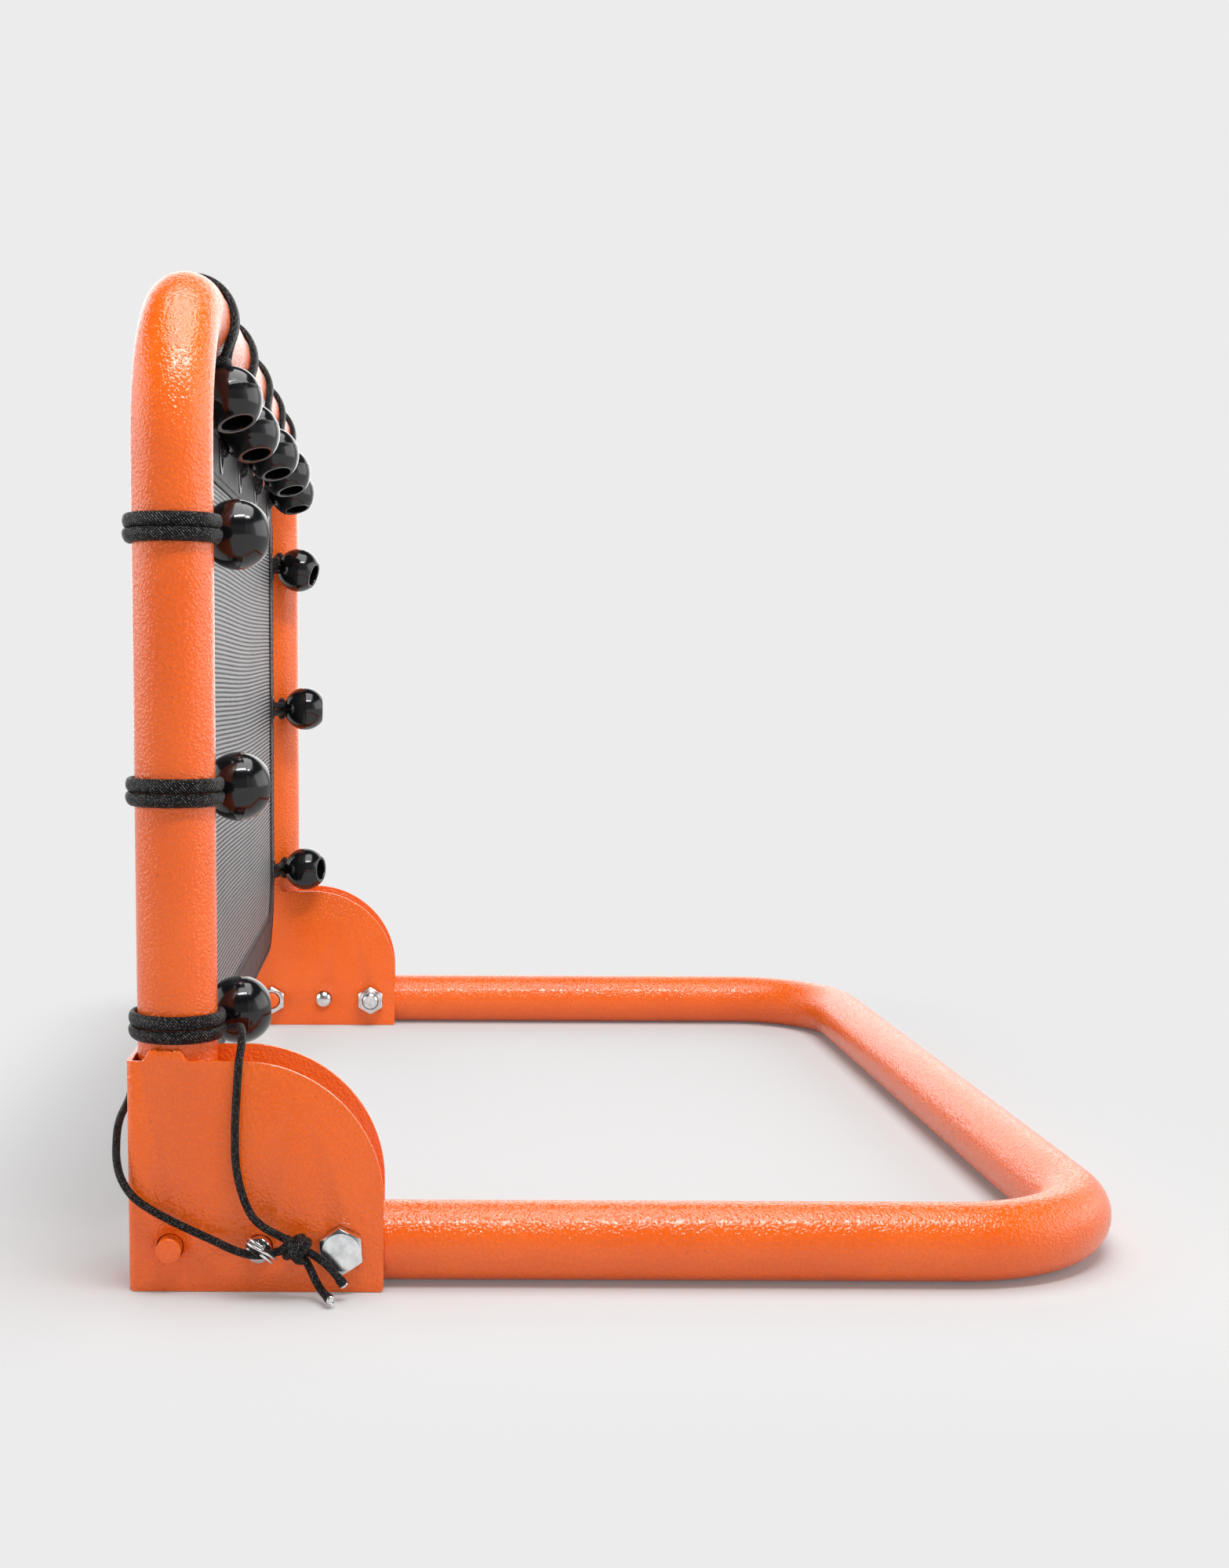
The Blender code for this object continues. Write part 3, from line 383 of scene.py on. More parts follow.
def black_steel():
    """The eyelets' black enamel over pressed steel."""
    f = Finish("black_steel", (0.03, 0.03, 0.032), 0.3, Specular_IOR_Level=0.9)
    worn = f.spread(f.noise(700.0, 5.0), 0.60, 0.70)
    f.set("Base Color", f.mix(worn, f.colour, (0.16, 0.16, 0.16)))
    f.set("Roughness", f.spread(f.noise(500.0), 0.3, 0.7, 0.22, 0.42))
    f.bump(f.noise(1200.0), 0.00006)
    return f.done()


def ball_plastic():
    """Glossy black moulded plastic with light handling marks."""
    f = Finish("black_plastic", (0.0045, 0.005, 0.006), 0.13, Specular_IOR_Level=0.58)
    f.set("Roughness", f.spread(f.noise(260.0, 5.0), 0.58, 0.70, 0.13, 0.26))
    f.set("Base Color", f.mix(f.spread(f.noise(1500.0), 0.75, 0.78), f.colour, (0.10, 0.10, 0.10)))
    f.bump(f.noise(110.0), 0.0004, 0.25)
    return f.done()


def braid(name, picks):
    """A braided elastic cover: crossing strands by the cord's own map, with painted sheen on their crests and
    pale flecks there, partly its core and partly painted glints.
    """
    f = Finish(name, (0.006, 0.006, 0.0065), 0.34, Specular_IOR_Level=0.22)
    cord_map = f.axes("UV")
    waves = [f.wave(f.math(sign, cord_map["X"], cord_map["Y"]), 1 / picks) for sign in ("ADD", "SUBTRACT")]
    weave = f.math("MAXIMUM", *waves)
    # Pale flecks on the crests of one strand family: partly the core showing through, partly painted glints
    # of light on the braid.
    flecks = f.math("MULTIPLY", f.spread(waves[0], 0.55, 0.85), f.spread(f.noise(1300.0), 0.50, 0.60))
    # Painted sheen and shade: the strands are coloured lighter on their crests and darker in the troughs
    # between them.
    tone = f.mix(f.spread(weave, -0.2, 0.9), (0.001, 0.001, 0.0012), (0.010, 0.0098, 0.0105))
    f.set("Base Color", f.mix(f.math("MULTIPLY", flecks, 0.70), tone, (0.44, 0.43, 0.42)))
    f.bump(weave, 0.00070)
    return f.done()


def net_mesh():
    """Woven trampoline mesh, by its own map of yarns and ribs: shiny on the ribs, with painted sheen
    lightening their crests and painted shade darkening the grooves.
    """
    f = Finish("net_mesh", (0.060, 0.062, 0.066), 0.42)
    yarn_map = f.axes("UV")
    crest = f.spread(f.wave(yarn_map["Y"], operation="COSINE"), -0.75, 0.65, kind="SMOOTHSTEP")
    # Painted sheen and shade: the black yarn is coloured lighter on the rib crests and near black in the
    # grooves between them.
    tone = f.mix(crest, (0.006, 0.006, 0.007), (0.098, 0.100, 0.106))
    worn = f.spread(f.noise(35.0, 3.0), 0.4, 0.7, 0.0, 0.25)
    f.set("Base Color", f.mix(worn, tone, (0.10, 0.10, 0.105)))
    f.set("Specular IOR Level", f.spread(crest, 0.0, 1.0, 0.04, 0.60))
    f.set("Sheen Weight", f.spread(crest, 0.0, 1.0, 0.0, 0.32))
    f.set("Roughness", f.spread(f.noise(600.0), 0.3, 0.7, 0.36, 0.52))
    f.bump(f.math("MULTIPLY", f.wave(yarn_map["X"]), crest), 0.00010)
    return f.done()


def webbing():
    """The hem's coated cloth: a tight plain weave with creases."""
    f = Finish("black_webbing", (0.022, 0.023, 0.025), 0.50, Specular_IOR_Level=0.18, Sheen_Weight=0.04)
    place = f.axes("Object")
    weave = f.math("MULTIPLY", f.wave(place["X"], WEAVE_PITCH), f.wave(place["Z"], WEAVE_PITCH))
    f.set("Base Color", f.mix(f.spread(weave, -0.7, 0.7), (0.012, 0.013, 0.014), (0.027, 0.028, 0.031)))
    f.bump(weave, 0.00005)
    f.bump(f.noise(60.0, 3.0), 0.0012, 0.4)
    return f.done()


ORANGE = powder_coat()
ZINC = plated("zinc_plate", (0.84, 0.86, 0.87), 0.15, 0.27, 0.00002)
CHROME = plated("bright_steel", (0.86, 0.87, 0.88), 0.12, 0.22, 0.00001)
BLACK_STEEL = black_steel()
MESH_CLOTH = net_mesh()
WEBBING = webbing()
ELASTIC = braid("black_elastic", 12)
THREAD = braid("hem_thread", 4)
BALL_PLASTIC = ball_plastic()


# Mesh helpers

def piece(name, mesh, material, body, nodes=()):
    """A visible piece on a body, which may stand for CAD nodes."""
    item = add_object(name, mesh)
    mesh.materials.clear()
    mesh.materials.append(material)
    if nodes:
        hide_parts(*nodes)
    if body:
        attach(item, body)
    return item


def stand_in(node, mesh, material):
    """A detailed piece for one CAD node, on its body."""
    return piece("visual_" + node, mesh, material, BODY_OF[node], [node])


def shaded(mesh, angle=35.0):
    mesh.shade_smooth()
    mesh.set_sharp_from_angle(angle=math.radians(angle))
    return mesh


def make_mesh(name, verts, faces, angle=35.0):
    mesh = bpy.data.meshes.new(name)
    mesh.from_pydata([tuple(v) for v in verts], [], [tuple(f) for f in faces])
    mesh.update()
    return shaded(mesh, angle)


def add_map(mesh, name, values):
    """Gives a mesh a texture map, from the U and V of each corner of its faces."""
    mesh.uv_layers.new(name=name).data.foreach_set("uv", values.astype(np.float32).reshape(-1))


def facing_out(mesh, weld=0.0):
    """The mesh with its faces turned outward, after vertices that are nearer than the weld are joined."""
    work = bmesh.new()
    work.from_mesh(mesh)
    if weld:
        bmesh.ops.remove_doubles(work, verts=work.verts, dist=weld)
    bmesh.ops.recalc_face_normals(work, faces=work.faces)
    work.to_mesh(mesh)
    work.free()
    return mesh


def evaluated(item):
    """The mesh that an object's modifiers or curve settings make. The object goes."""
    graph = bpy.context.evaluated_depsgraph_get()
    mesh = bpy.data.meshes.new_from_object(item.evaluated_get(graph))
    bpy.data.objects.remove(item, do_unlink=True)
    return mesh


def cut(mesh, tools, operation="DIFFERENCE"):
    """The mesh with an exact Boolean done for each of the tools."""
    item = add_object("cut", mesh)
    helpers = [add_object("tool", tool) for tool in tools]
    for helper in helpers:
        modifier = item.modifiers.new("cut", "BOOLEAN")
        modifier.operation = operation
        modifier.solver = "EXACT"
        modifier.object = helper
    result = evaluated(item)
    for helper in helpers:
        bpy.data.objects.remove(helper, do_unlink=True)
    return shaded(result)


def bevelled(mesh, width, angle=50.0):
    """The mesh with its sharp edges eased."""
    holder = add_object("holder", mesh)
    modifier = holder.modifiers.new("ease", "BEVEL")
    modifier.width = width
    modifier.segments = 2
    modifier.limit_method = "ANGLE"
    modifier.angle_limit = math.radians(angle)
    modifier.miter_outer = "MITER_ARC"
    modifier.use_clamp_overlap = True
    return shaded(evaluated(holder), 40.0)


def joined(meshes):
    """One mesh from several."""
    work = bmesh.new()
    for mesh in meshes:
        work.from_mesh(mesh)
    result = bpy.data.meshes.new("joined")
    work.to_mesh(result)
    work.free()
    return shaded(result)


def moved(mesh, place):
    mesh.transform(place)
    if place.determinant() < 0:
        mesh.flip_normals()
    return mesh


def frame_matrix(x_axis, y_axis, z_axis, origin):
    matrix = Matrix((x_axis, y_axis, z_axis)).transposed().to_4x4()
    matrix.translation = origin
    return matrix


def aimed(place, way, axis="Z"):
    """A place whose axis points along a way."""
    return Matrix.Translation(place) @ way.to_track_quat(axis, "Y").to_matrix().to_4x4()


def at_bracket(side, outward, back, up):
    """A point given from the foot of a leg: outward from its axis, backward and up."""
    return Vector((side * (LEG_X + outward), LEG_Y + back, up))


def cross_place(side, outward, back, turn=0.0):
    """Stands a piece's Z axis along the bracket's holes, pointing outward."""
    across_turn = Matrix.Rotation(side * math.pi / 2, 4, "Y") @ Matrix.Rotation(turn, 4, "Z")
    return Matrix.Translation(at_bracket(side, outward, back, HOLE_HEIGHT)) @ across_turn


def arc(centre, radius, start, end, steps):
    turns = [start + (end - start) * i / steps for i in range(steps + 1)]
    return [(centre[0] + radius * math.cos(t), centre[1] + radius * math.sin(t)) for t in turns]


def round_points(sides):
    """Points on a circle of radius 1."""
    turns = np.arange(sides) * 2 * math.pi / sides
    return np.stack([np.cos(turns), np.sin(turns)], axis=-1)


def turned(profile, steps=64, closed=False):
    """Turns a profile of (radius, height) pairs about the Z axis. Points on the axis become one vertex."""
    verts = []
    rings = []
    for radius, height in profile:
        spots = [(0.0, 0.0)] if radius < 1e-7 else round_points(steps) * radius
        rings.append([len(verts) + i % len(spots) for i in range(steps)])
        verts += [(x, y, height) for x, y in spots]
    faces = []
    for a, b in zip(rings, rings[1:] + rings[:1] if closed else rings[1:]):
        for i in range(steps):
            following = (i + 1) % steps
            face = list(dict.fromkeys((a[i], a[following], b[following], b[i])))
            if len(face) > 2:
                faces.append(face)
    return shaded(facing_out(make_mesh("turned", verts, faces)))


def eased(profile, radius, steps=4, closed=False):
    """Rounds the corners of a profile. Its first and last points stay, unless it is closed."""
    points = [Vector((*p, 0.0)) for p in profile]
    result = []
    for i, point in enumerate(points):
        before = points[i - 1] - point
        after = points[(i + 1) % len(points)] - point
        angle = before.angle(after)
        if angle > math.radians(165) or not closed and i in (0, len(points) - 1):
            result.append(point)
            continue
        reach = min(radius / math.tan(angle / 2), before.length * 0.45, after.length * 0.45)
        start = point + before.normalized() * reach
        end = point + after.normalized() * reach
        for t in (k / steps for k in range(steps + 1)):
            result.append(start * (1 - t) ** 2 + point * (2 * t * (1 - t)) + end * t ** 2)
    return [(spot.x, spot.y) for spot in result]


def soft(value):
    """A rise from 0 to 1 with soft ends, held there beyond."""
    value = np.clip(value, 0.0, 1.0)
    return value * value * (3 - 2 * value)


def walked_along(path):
    """The length from the start of a path to each of its points."""
    return np.concatenate([[0.0], np.cumsum(np.linalg.norm(np.diff(path, axis=0), axis=1))])


def smooth_path(points, step):
    """Points at an even spacing on a Catmull-Rom curve through a route."""
    points = [Vector(p) for p in points]
    ends = [points[0] * 2 - points[1]] + points + [points[-1] * 2 - points[-2]]
    fine = []
    for p0, p1, p2, p3 in zip(ends, ends[1:], ends[2:], ends[3:]):
        for i in range(16):
            t = i / 16
            fine.append(0.5 * (2 * p1 + (p2 - p0) * t + (2 * p0 - 5 * p1 + 4 * p2 - p3) * t ** 2
                               + (3 * p1 - p0 - 3 * p2 + p3) * t ** 3))
    fine = np.array([tuple(p) for p in fine + points[-1:]])
    walked = walked_along(fine)
    count = max(2, int(round(walked[-1] / step)))
    even = np.linspace(0.0, walked[-1], count + 1)
    return np.stack([np.interp(even, walked, fine[:, k]) for k in range(3)], axis=1)


def carried_frames(path, first):
    """Two unit vectors across a path at each point, carried along it without twist."""
    way = np.gradient(path, axis=0)
    way /= np.linalg.norm(way, axis=1, keepdims=True)
    side = np.zeros_like(path)
    guess = np.array(first, float)
    for i, t in enumerate(way):
        guess = guess - t * guess.dot(t)
        guess /= np.linalg.norm(guess)
        side[i] = guess
    return side, np.cross(way, side)


def ring_faces(count, sides, closed=False):
    """Quads between rings of vertices, and from the last ring to the first where closed."""
    index = np.arange(count * sides).reshape(count, sides)
    following = np.roll(index, -1, axis=0)
    quads = np.stack([index, following, np.roll(following, -1, axis=1), np.roll(index, -1, axis=1)], axis=-1)
    return (quads if closed else quads[:-1]).reshape(-1, 4).tolist()


def swept(path, section, first=(0.0, 0.0, 1.0)):
    """A mesh swept along a path. Its section is (points, sides, 2) or (sides, 2), by `first` and beside it.

    Its map has the share of the way round as U, and the length in circumferences as V.
    """
    path = np.asarray(path, float)
    section = np.asarray(section, float)
    if section.ndim == 2:
        section = np.repeat(section[None], len(path), axis=0)
    side, beside = carried_frames(path, first)
    rings = path[:, None] + section[:, :, :1] * side[:, None] + section[:, :, 1:] * beside[:, None]
    count, sides = rings.shape[:2]
    ends = [list(range(sides)), list(reversed(range((count - 1) * sides, count * sides)))]
    mesh = make_mesh("swept", rings.reshape(-1, 3), ring_faces(count, sides) + ends, 50.0)
    around = np.linalg.norm(section[0] - np.roll(section[0], 1, axis=0), axis=1).sum()
    walked = walked_along(path) / around
    share = np.arange(sides + 1) / sides
    uv = np.zeros((count - 1, sides, 4, 2))
    uv[..., 0] = np.stack([share[:-1], share[:-1], share[1:], share[1:]], axis=-1)
    uv[..., 1] = np.stack([walked[:-1], walked[1:], walked[1:], walked[:-1]], axis=-1)[:, None]
    add_map(mesh, "length_map", np.concatenate([uv.reshape(-1, 2), np.zeros((2 * sides, 2))]))
    return mesh


def braided(path, radii, first, sides=24, picks=12, depth=0.00007):
    """A cord with a real braid: crossing strands raised a little from a round or flattened section."""
    path = np.asarray(path, float)
    radii = np.asarray(radii, float)
    if radii.ndim == 0:
        radii = np.full((len(path), 2), float(radii))
    walked = walked_along(path) / (2 * math.pi * radii[0].mean())
    share = np.arange(sides) / sides
    crossing = [np.sin(2 * math.pi * picks / 2 * (share[None] + sign * walked[:, None])) for sign in (1, -1)]
    lift = np.maximum(*crossing) * depth
    return swept(path, round_points(sides) * (radii[:, None] + lift[:, :, None]), first)


# Tether cords, on the right lock pin

def tether_braid(path, radii, first=(0.3, 1.0, 0.2)):
    return braided(path, radii, first, sides=20, picks=10, depth=0.00005)


def tether_cord(word, route):
    """One free cord of the tether: down from the frame, through the knot, to its crimped tip."""
    tip_node = "tip_tail_" + word
    path = smooth_path([at_bracket(1, *point) for point in route], 0.0007)
    item = piece("tether_cord_" + word, tether_braid(path, TETHER_RADIUS), ELASTIC, None,
                 ["tether_strand_" + word, "tether_tail_" + word])
    way = Vector(path[-1] - path[-2]).normalized()
    lip = TIP_RADIUS
    profile = [(0.0, 0.0), (lip * 0.82, 0.0), (lip, 0.0005), (lip * 0.93, 0.0012), (lip, 0.0019),
               (lip, TIP_LENGTH - 0.0006), (lip * 0.75, TIP_LENGTH), (lip * 0.70, TIP_LENGTH - 0.0007),
               (0.0, TIP_LENGTH - 0.0008)]
    tip_place = aimed(Vector(path[-1]) + way * FIT_GAP, way)
    tip = stand_in(tip_node, moved(turned(eased(profile, 0.0003), 32), tip_place), ZINC)
    reach = np.linspace(-0.0004, TIP_LENGTH - 0.0007, 9)
    flare = np.interp(reach, (-0.0004, 0.0004), (TETHER_RADIUS, TIP_RADIUS + 0.0001))
    sleeve = tether_braid(path[-1] + np.outer(reach, way), np.stack([flare, flare], axis=-1))
    return item, path, [tip, piece(f"tether_cord_{word}_cover", sleeve, ELASTIC, BODY_OF[tip_node])]


def tether_knot():
    """The doubled overhand knot, as two turns round the cords and one strand crossing over them."""
    way = Vector(KNOT_WAY).normalized()
    over = (RIGHT - way * RIGHT.dot(way)).normalized()
    ways = np.array([way, over, way.cross(over)])
    share = np.linspace(0.0, 1.0, 61)
    turn = KNOT_START + KNOT_TURNS * 2 * math.pi * share
    coil = KNOT_COIL + KNOT_BULGE * np.sin(math.pi * share)
    drift = KNOT_LENGTH * (share - 0.5) - KNOT_SLANT * np.sin(turn)
    turns = np.stack([drift, coil * np.cos(turn), coil * np.sin(turn)], axis=-1)
    centre = np.array(at_bracket(1, *KNOT_PLACE))
    routes = [centre + points @ ways for points in (turns, np.array(KNOT_BRIDGE))]
    meshes = [tether_braid(smooth_path(route, 0.0005), KNOT_STRAND, (0.2, 0.3, 1.0)) for route in routes]
    return stand_in("tether_knot", joined(meshes), ELASTIC)


knot = tether_knot()
for word, route in (("upper", UPPER_ROUTE), ("lower", LOWER_ROUTE)):
    item, path, tips = tether_cord(word, route)
    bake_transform(item)


# Frame tubes

def bent_path(corners, radius, steps=20, straight=0.01):
    """Straight runs between corners, with an arc at each corner between the ends."""
    path = [corners[0]]
    for before, corner, after in zip(corners, corners[1:], corners[2:]):
        into = (corner - before).normalized()
        out = (after - corner).normalized()
        centre = corner + (out - into) * radius
        for i in range(steps + 1):
            turn = math.pi / 2 * i / steps
            path.append(centre - out * radius * math.cos(turn) + into * radius * math.sin(turn))
    path.append(corners[-1])
    fine = []
    for a, b in zip(path, path[1:]):
        count = max(1, round((b - a).length / straight))
        fine += [a.lerp(b, i / count) for i in range(count)]
    return fine + [path[-1]]


def tube_mesh(foot, bar, bend_radius, sides=72):
    """A steel tube with its bore and eased ends, bent into a U from the (y, z) of its feet and its bar."""
    across = (LEG_X, LEG_X, -LEG_X, -LEG_X)
    corners = [Vector((x, *point)) for x, point in zip(across, (foot, bar, bar, foot))]
    path = np.array([tuple(p) for p in bent_path(corners, bend_radius)])
    side, beside = carried_frames(path, (0.3, 0.5, 0.4))
    circle = round_points(sides)
    spin = circle[:, :1] * side[:, None] + circle[:, 1:] * beside[:, None]
    ease = 0.0004
    rings = []
    for order, radius, sink in ((1, TUBE_RADIUS, -ease), (-1, TUBE_RADIUS - TUBE_WALL, ease)):
        line, spokes = path[::order], spin[::order]
        body = line[:, None] + spokes * radius
        ends = []
        for k, other in ((0, 1), (-1, -2)):
            way = line[other] - line[k]
            ends.append(line[k] + spokes[k] * (radius + sink))
            body[k] = body[k] + way / np.linalg.norm(way) * ease
        rings += [ends[0][None], body, ends[1][None]]
    rings = np.concatenate(rings)
    faces = ring_faces(len(rings), sides, closed=True)
    return facing_out(make_mesh("tube", rings.reshape(-1, 3), faces, 50.0))


def rod(radius, length, steps=48):
    """A plain round cutter on the Z axis, centred on the origin."""
    return turned([(0.0, -length / 2), (radius, -length / 2), (radius, length / 2), (0.0, length / 2)], steps)


def cross_hole(side, back):
    """A cutter for a hole across a bracket."""
    return moved(rod(HOLE_RADIUS, 0.06), cross_place(side, 0, back))


def plate(outline, thickness):
    """A flat plate in the XY plane, from its outline."""
    curve = bpy.data.curves.new("plate", "CURVE")
    curve.dimensions = "2D"
    curve.fill_mode = "BOTH"
    curve.extrude = thickness / 2
    spline = curve.splines.new("POLY")
    spline.points.add(len(outline) - 1)
    spline.use_cyclic_u = True
    for target, point in zip(spline.points, outline):
        target.co = (*point, 0.0, 1.0)
    return shaded(facing_out(evaluated(add_object("plate", curve)), 0.000005))


def upright():
    mesh = tube_mesh((LEG_Y, LEG_FOOT_HEIGHT), (LEG_Y, BAR_HEIGHT), TOP_BEND_RADIUS)
    stand_in("upright_frame", cut(mesh, [cross_hole(side, STUD_BACK) for side in (1, -1)]), ORANGE)


def pin_slot_outline():
    """The way of the lock pin through the base's inner end, about the pivot, as (back, up)."""
    sweep = BOLT_BACK - PIN_BACK
    half = SHANK_RADIUS + 0.0008
    open_end = math.radians(96)
    round_end = arc((-sweep, 0), half, math.radians(180), math.radians(360), 16)
    inner = arc((0, 0), sweep - half, math.radians(180), open_end, 16)
    outer = arc((0, 0), sweep + half, open_end, math.radians(180), 16)
    return round_end + inner[1:] + outer[:-1]


def base():
    mesh = tube_mesh((LEG_Y + BASE_START, TUBE_RADIUS), (LEG_Y + BASE_REACH, TUBE_RADIUS), BASE_BEND_RADIUS)
    tools = []
    for side in (1, -1):
        place = frame_matrix(BACK, UP, RIGHT, at_bracket(side, 0, BOLT_BACK, HOLE_HEIGHT))
        tools += [cross_hole(side, BOLT_BACK), moved(plate(pin_slot_outline(), 0.05), place)]
    stand_in("base_frame", cut(mesh, tools), ORANGE)


upright()
base()


# Brackets

def bracket_channel():
    """The folded sheet, longer and taller than the bracket, before its side outline is cut."""
    spare = 0.005
    centre = (CHEEK_OUT - BRACKET_FOLD, BRACKET_FOLD - WEB_FRONT)
    outline = []
    for across, radius, order in ((CHEEK_OUT, BRACKET_FOLD, 1), (CHEEK_IN, BRACKET_FOLD - BRACKET_SHEET, -1)):
        right = [(across, BRACKET_REACH + spare)] + arc(centre, radius, 0, math.radians(-90), 10)
        outline += (right + [(-x, y) for x, y in reversed(right)])[::order]
    return moved(plate(outline, BRACKET_HEIGHT + 2 * spare), Matrix.Translation((0, 0, BRACKET_HEIGHT / 2)))


def bracket_outline():
    front = -WEB_FRONT - 0.005
    nip = arc((BRACKET_REACH - BRACKET_NIP, BRACKET_NIP), BRACKET_NIP, math.radians(-90), 0, 6)
    top = arc((BRACKET_REACH - BRACKET_ROUND, BRACKET_HEIGHT - BRACKET_ROUND), BRACKET_ROUND,
              0, math.radians(90), 40)
    return [(front, 0.0)] + nip + top + [(front, BRACKET_HEIGHT)]


def weld(side, cheek):
    """A weld on a cheek's top edge: a steep-ended mound, flush outside, that fills the corner at the leg."""
    half = WELD_WIDTH / 2
    middle = cheek * (CHEEK_OUT + 0.0001 - half)
    share = np.linspace(-1.0, 1.0, 91)
    way_back = WELD_SETBACK + WELD_LENGTH / 2 * share
    path = [tuple(at_bracket(side, middle, back, BRACKET_HEIGHT)) for back in way_back]
    ripple = 1 + 0.05 * np.sin(13 * share + cheek) + 0.035 * np.sin(31 * share + 2 * side)
    height = 0.0002 + WELD_HEIGHT * ripple * soft((1 - abs(share)) / WELD_RAMP)
    turns = np.linspace(0, math.pi, 17)
    across = half * np.sign(np.cos(turns)) * np.abs(np.cos(turns)) ** 0.6
    mound = np.stack([np.outer(height, np.sin(turns) ** 0.6), np.tile(across, (len(path), 1))], axis=-1)
    root = np.tile([(-WELD_ROOT, -half * 0.96), (-WELD_ROOT, half * 0.96)], (len(path), 1, 1))
    leg_place = Matrix.Translation(at_bracket(side, 0, 0, BRACKET_HEIGHT))
    leg = moved(rod(TUBE_RADIUS + 0.0001, 0.1, 96), leg_place)
    return cut(swept(path, np.concatenate([mound, root], axis=1)), [leg])


def bracket(side, node):
    foot = at_bracket(side, 0, 0, 0)
    outline = moved(plate(bracket_outline(), 0.06), frame_matrix(BACK, UP, RIGHT, foot))
    mesh = cut(moved(bracket_channel(), Matrix.Translation(foot)), [outline], "INTERSECT")
    mesh = bevelled(cut(mesh, [cross_hole(side, back) for back in (STUD_BACK, PIN_BACK, BOLT_BACK)]), 0.0003)
    stand_in(node, cut(mesh, [weld(side, cheek) for cheek in (1, -1)], "UNION"), ORANGE)


# Fasteners

def hexagon(height, both_ends):
    """A hexagonal head or nut body from 0 up, with the turned chamfer on its corners."""
    slope = math.tan(math.radians(30))
    past = 0.0010
    face = HEX_ACROSS / 2 * HEX_FACE
    corner = HEX_ACROSS / math.sqrt(3)
    outside = corner + past
    drop = (outside - face) * slope
    point = face - past / slope
    top = [(0.0, height + past), (point, height + past), (outside, height - drop)]
    bottom = [(outside, drop), (point, -past)] if both_ends else [(outside, -past)]
    chamfer = turned(top + bottom + [(0.0, -past)], 96)
    body = moved(plate(round_points(6) * corner, height), Matrix.Translation((0, 0, height / 2)))
    return bevelled(cut(body, [chamfer], "INTERSECT"), 0.00022, 25.0)


def thread(start, tip):
    """Profile points of a shank's thread, down from its start to its chamfered tip."""
    root = SHANK_RADIUS - THREAD_DEPTH
    end = tip + 0.0008
    turns = max(2, round((start - end) / THREAD_PITCH))
    step = (end - start) / turns
    points = []
    for low in (start + step * i for i in range(turns)):
        points += [(root, low), (SHANK_RADIUS, low + step * 0.4), (SHANK_RADIUS, low + step * 0.6)]
    return points + [(root, end), (SHANK_RADIUS - 0.0010, tip), (0.0, tip)]


def pivot_bolt(side, node):
    neck = 0.0004
    profile = [(0.0, neck), (SHANK_RADIUS, neck), (SHANK_RADIUS, -2 * SEAT + 0.002)]
    profile += thread(-2 * SEAT + 0.001, -(2 * SEAT + NUT_HEIGHT + LOCK_COLLAR + THREAD_SHOW))
    mesh = cut(hexagon(HEX_HEAD, False), [turned(profile)], "UNION")
    stand_in(node, moved(mesh, cross_place(side, SEAT, BOLT_BACK, HEX_TURN)), ZINC)


def nut(side, node, back, collar):
    """A hexagon nut on a shank's inner end, with a locking collar or without."""
    mesh = hexagon(NUT_HEIGHT, True)
    top = NUT_HEIGHT
    if collar:
        top += LOCK_COLLAR
        rim = HEX_ACROSS / 2 * 0.90
        profile = [(0.0, top), (rim - 0.0003, top), (rim, NUT_HEIGHT + 0.0006), (rim, NUT_HEIGHT / 2),
                   (0.0, NUT_HEIGHT / 2)]
        mesh = cut(mesh, [turned(eased(profile, 0.0009))], "UNION")
    mouth = SHANK_RADIUS + FIT_GAP
    bore = [(0.0, top + 0.001), (mouth + 0.0016, top + 0.001), (mouth, top - 0.0006), (mouth, 0.0006),
            (mouth + 0.0016, -0.001), (0.0, -0.001)]
    place = cross_place(side, -SEAT, back) @ Matrix.Rotation(math.pi, 4, "X")
    stand_in(node, moved(cut(mesh, [turned(bore)]), place), ZINC)


def cross_stud(side, node):
    outer = CHEEK_OUT + STUD_PROUD
    profile = eased([(0.0, outer), (SHANK_RADIUS, outer), (SHANK_RADIUS, -SEAT)], 0.0006)
    profile += thread(-SEAT - 0.0005, -SEAT - NUT_HEIGHT - THREAD_SHOW)
    stand_in(node, moved(turned(profile), cross_place(side, 0, STUD_BACK)), ORANGE)


def dome(tip, sign, steps=14):
    """Profile points of a shallow dome on a pin's end, from its axis to its side."""
    curve = (SHANK_RADIUS ** 2 + PIN_DOME ** 2) / (2 * PIN_DOME)
    reach = math.asin(SHANK_RADIUS / curve)
    turns = [reach * i / steps for i in range(steps + 1)]
    return [(curve * math.sin(t), tip - sign * curve * (1 - math.cos(t))) for t in turns]


def ring_axis(side):
    slope = RIGHT_RING_SLOPE if side > 0 else 0.0
    return Vector((0, math.cos(slope), math.sin(slope)))


def ring_hole(side):
    return at_bracket(side, CHEEK_OUT + PIN_PROUD_OUT - RING_HOLE_SETBACK, PIN_BACK, HOLE_HEIGHT)


def lock_pin(side, node):
    profile = dome(CHEEK_OUT + PIN_PROUD_OUT, 1) + dome(-(CHEEK_OUT + PIN_PROUD_IN), -1)[::-1]
    mesh = moved(turned(profile, 72), cross_place(side, 0, PIN_BACK))
    along = ring_axis(side)
    across = Vector((side, 0, 0))
    place = frame_matrix(across, along.cross(across), along, ring_hole(side))
    wide = RING_HOLE / 2
    flare = SHANK_RADIUS + 0.0012
    half = [(wide, flare - 0.0016), (wide + 0.0012, flare), (0.0, flare)]
    hole = turned([(radius, -height) for radius, height in reversed(half)] + half, 40)
    stand_in(node, cut(mesh, [moved(hole, place)]), CHROME)


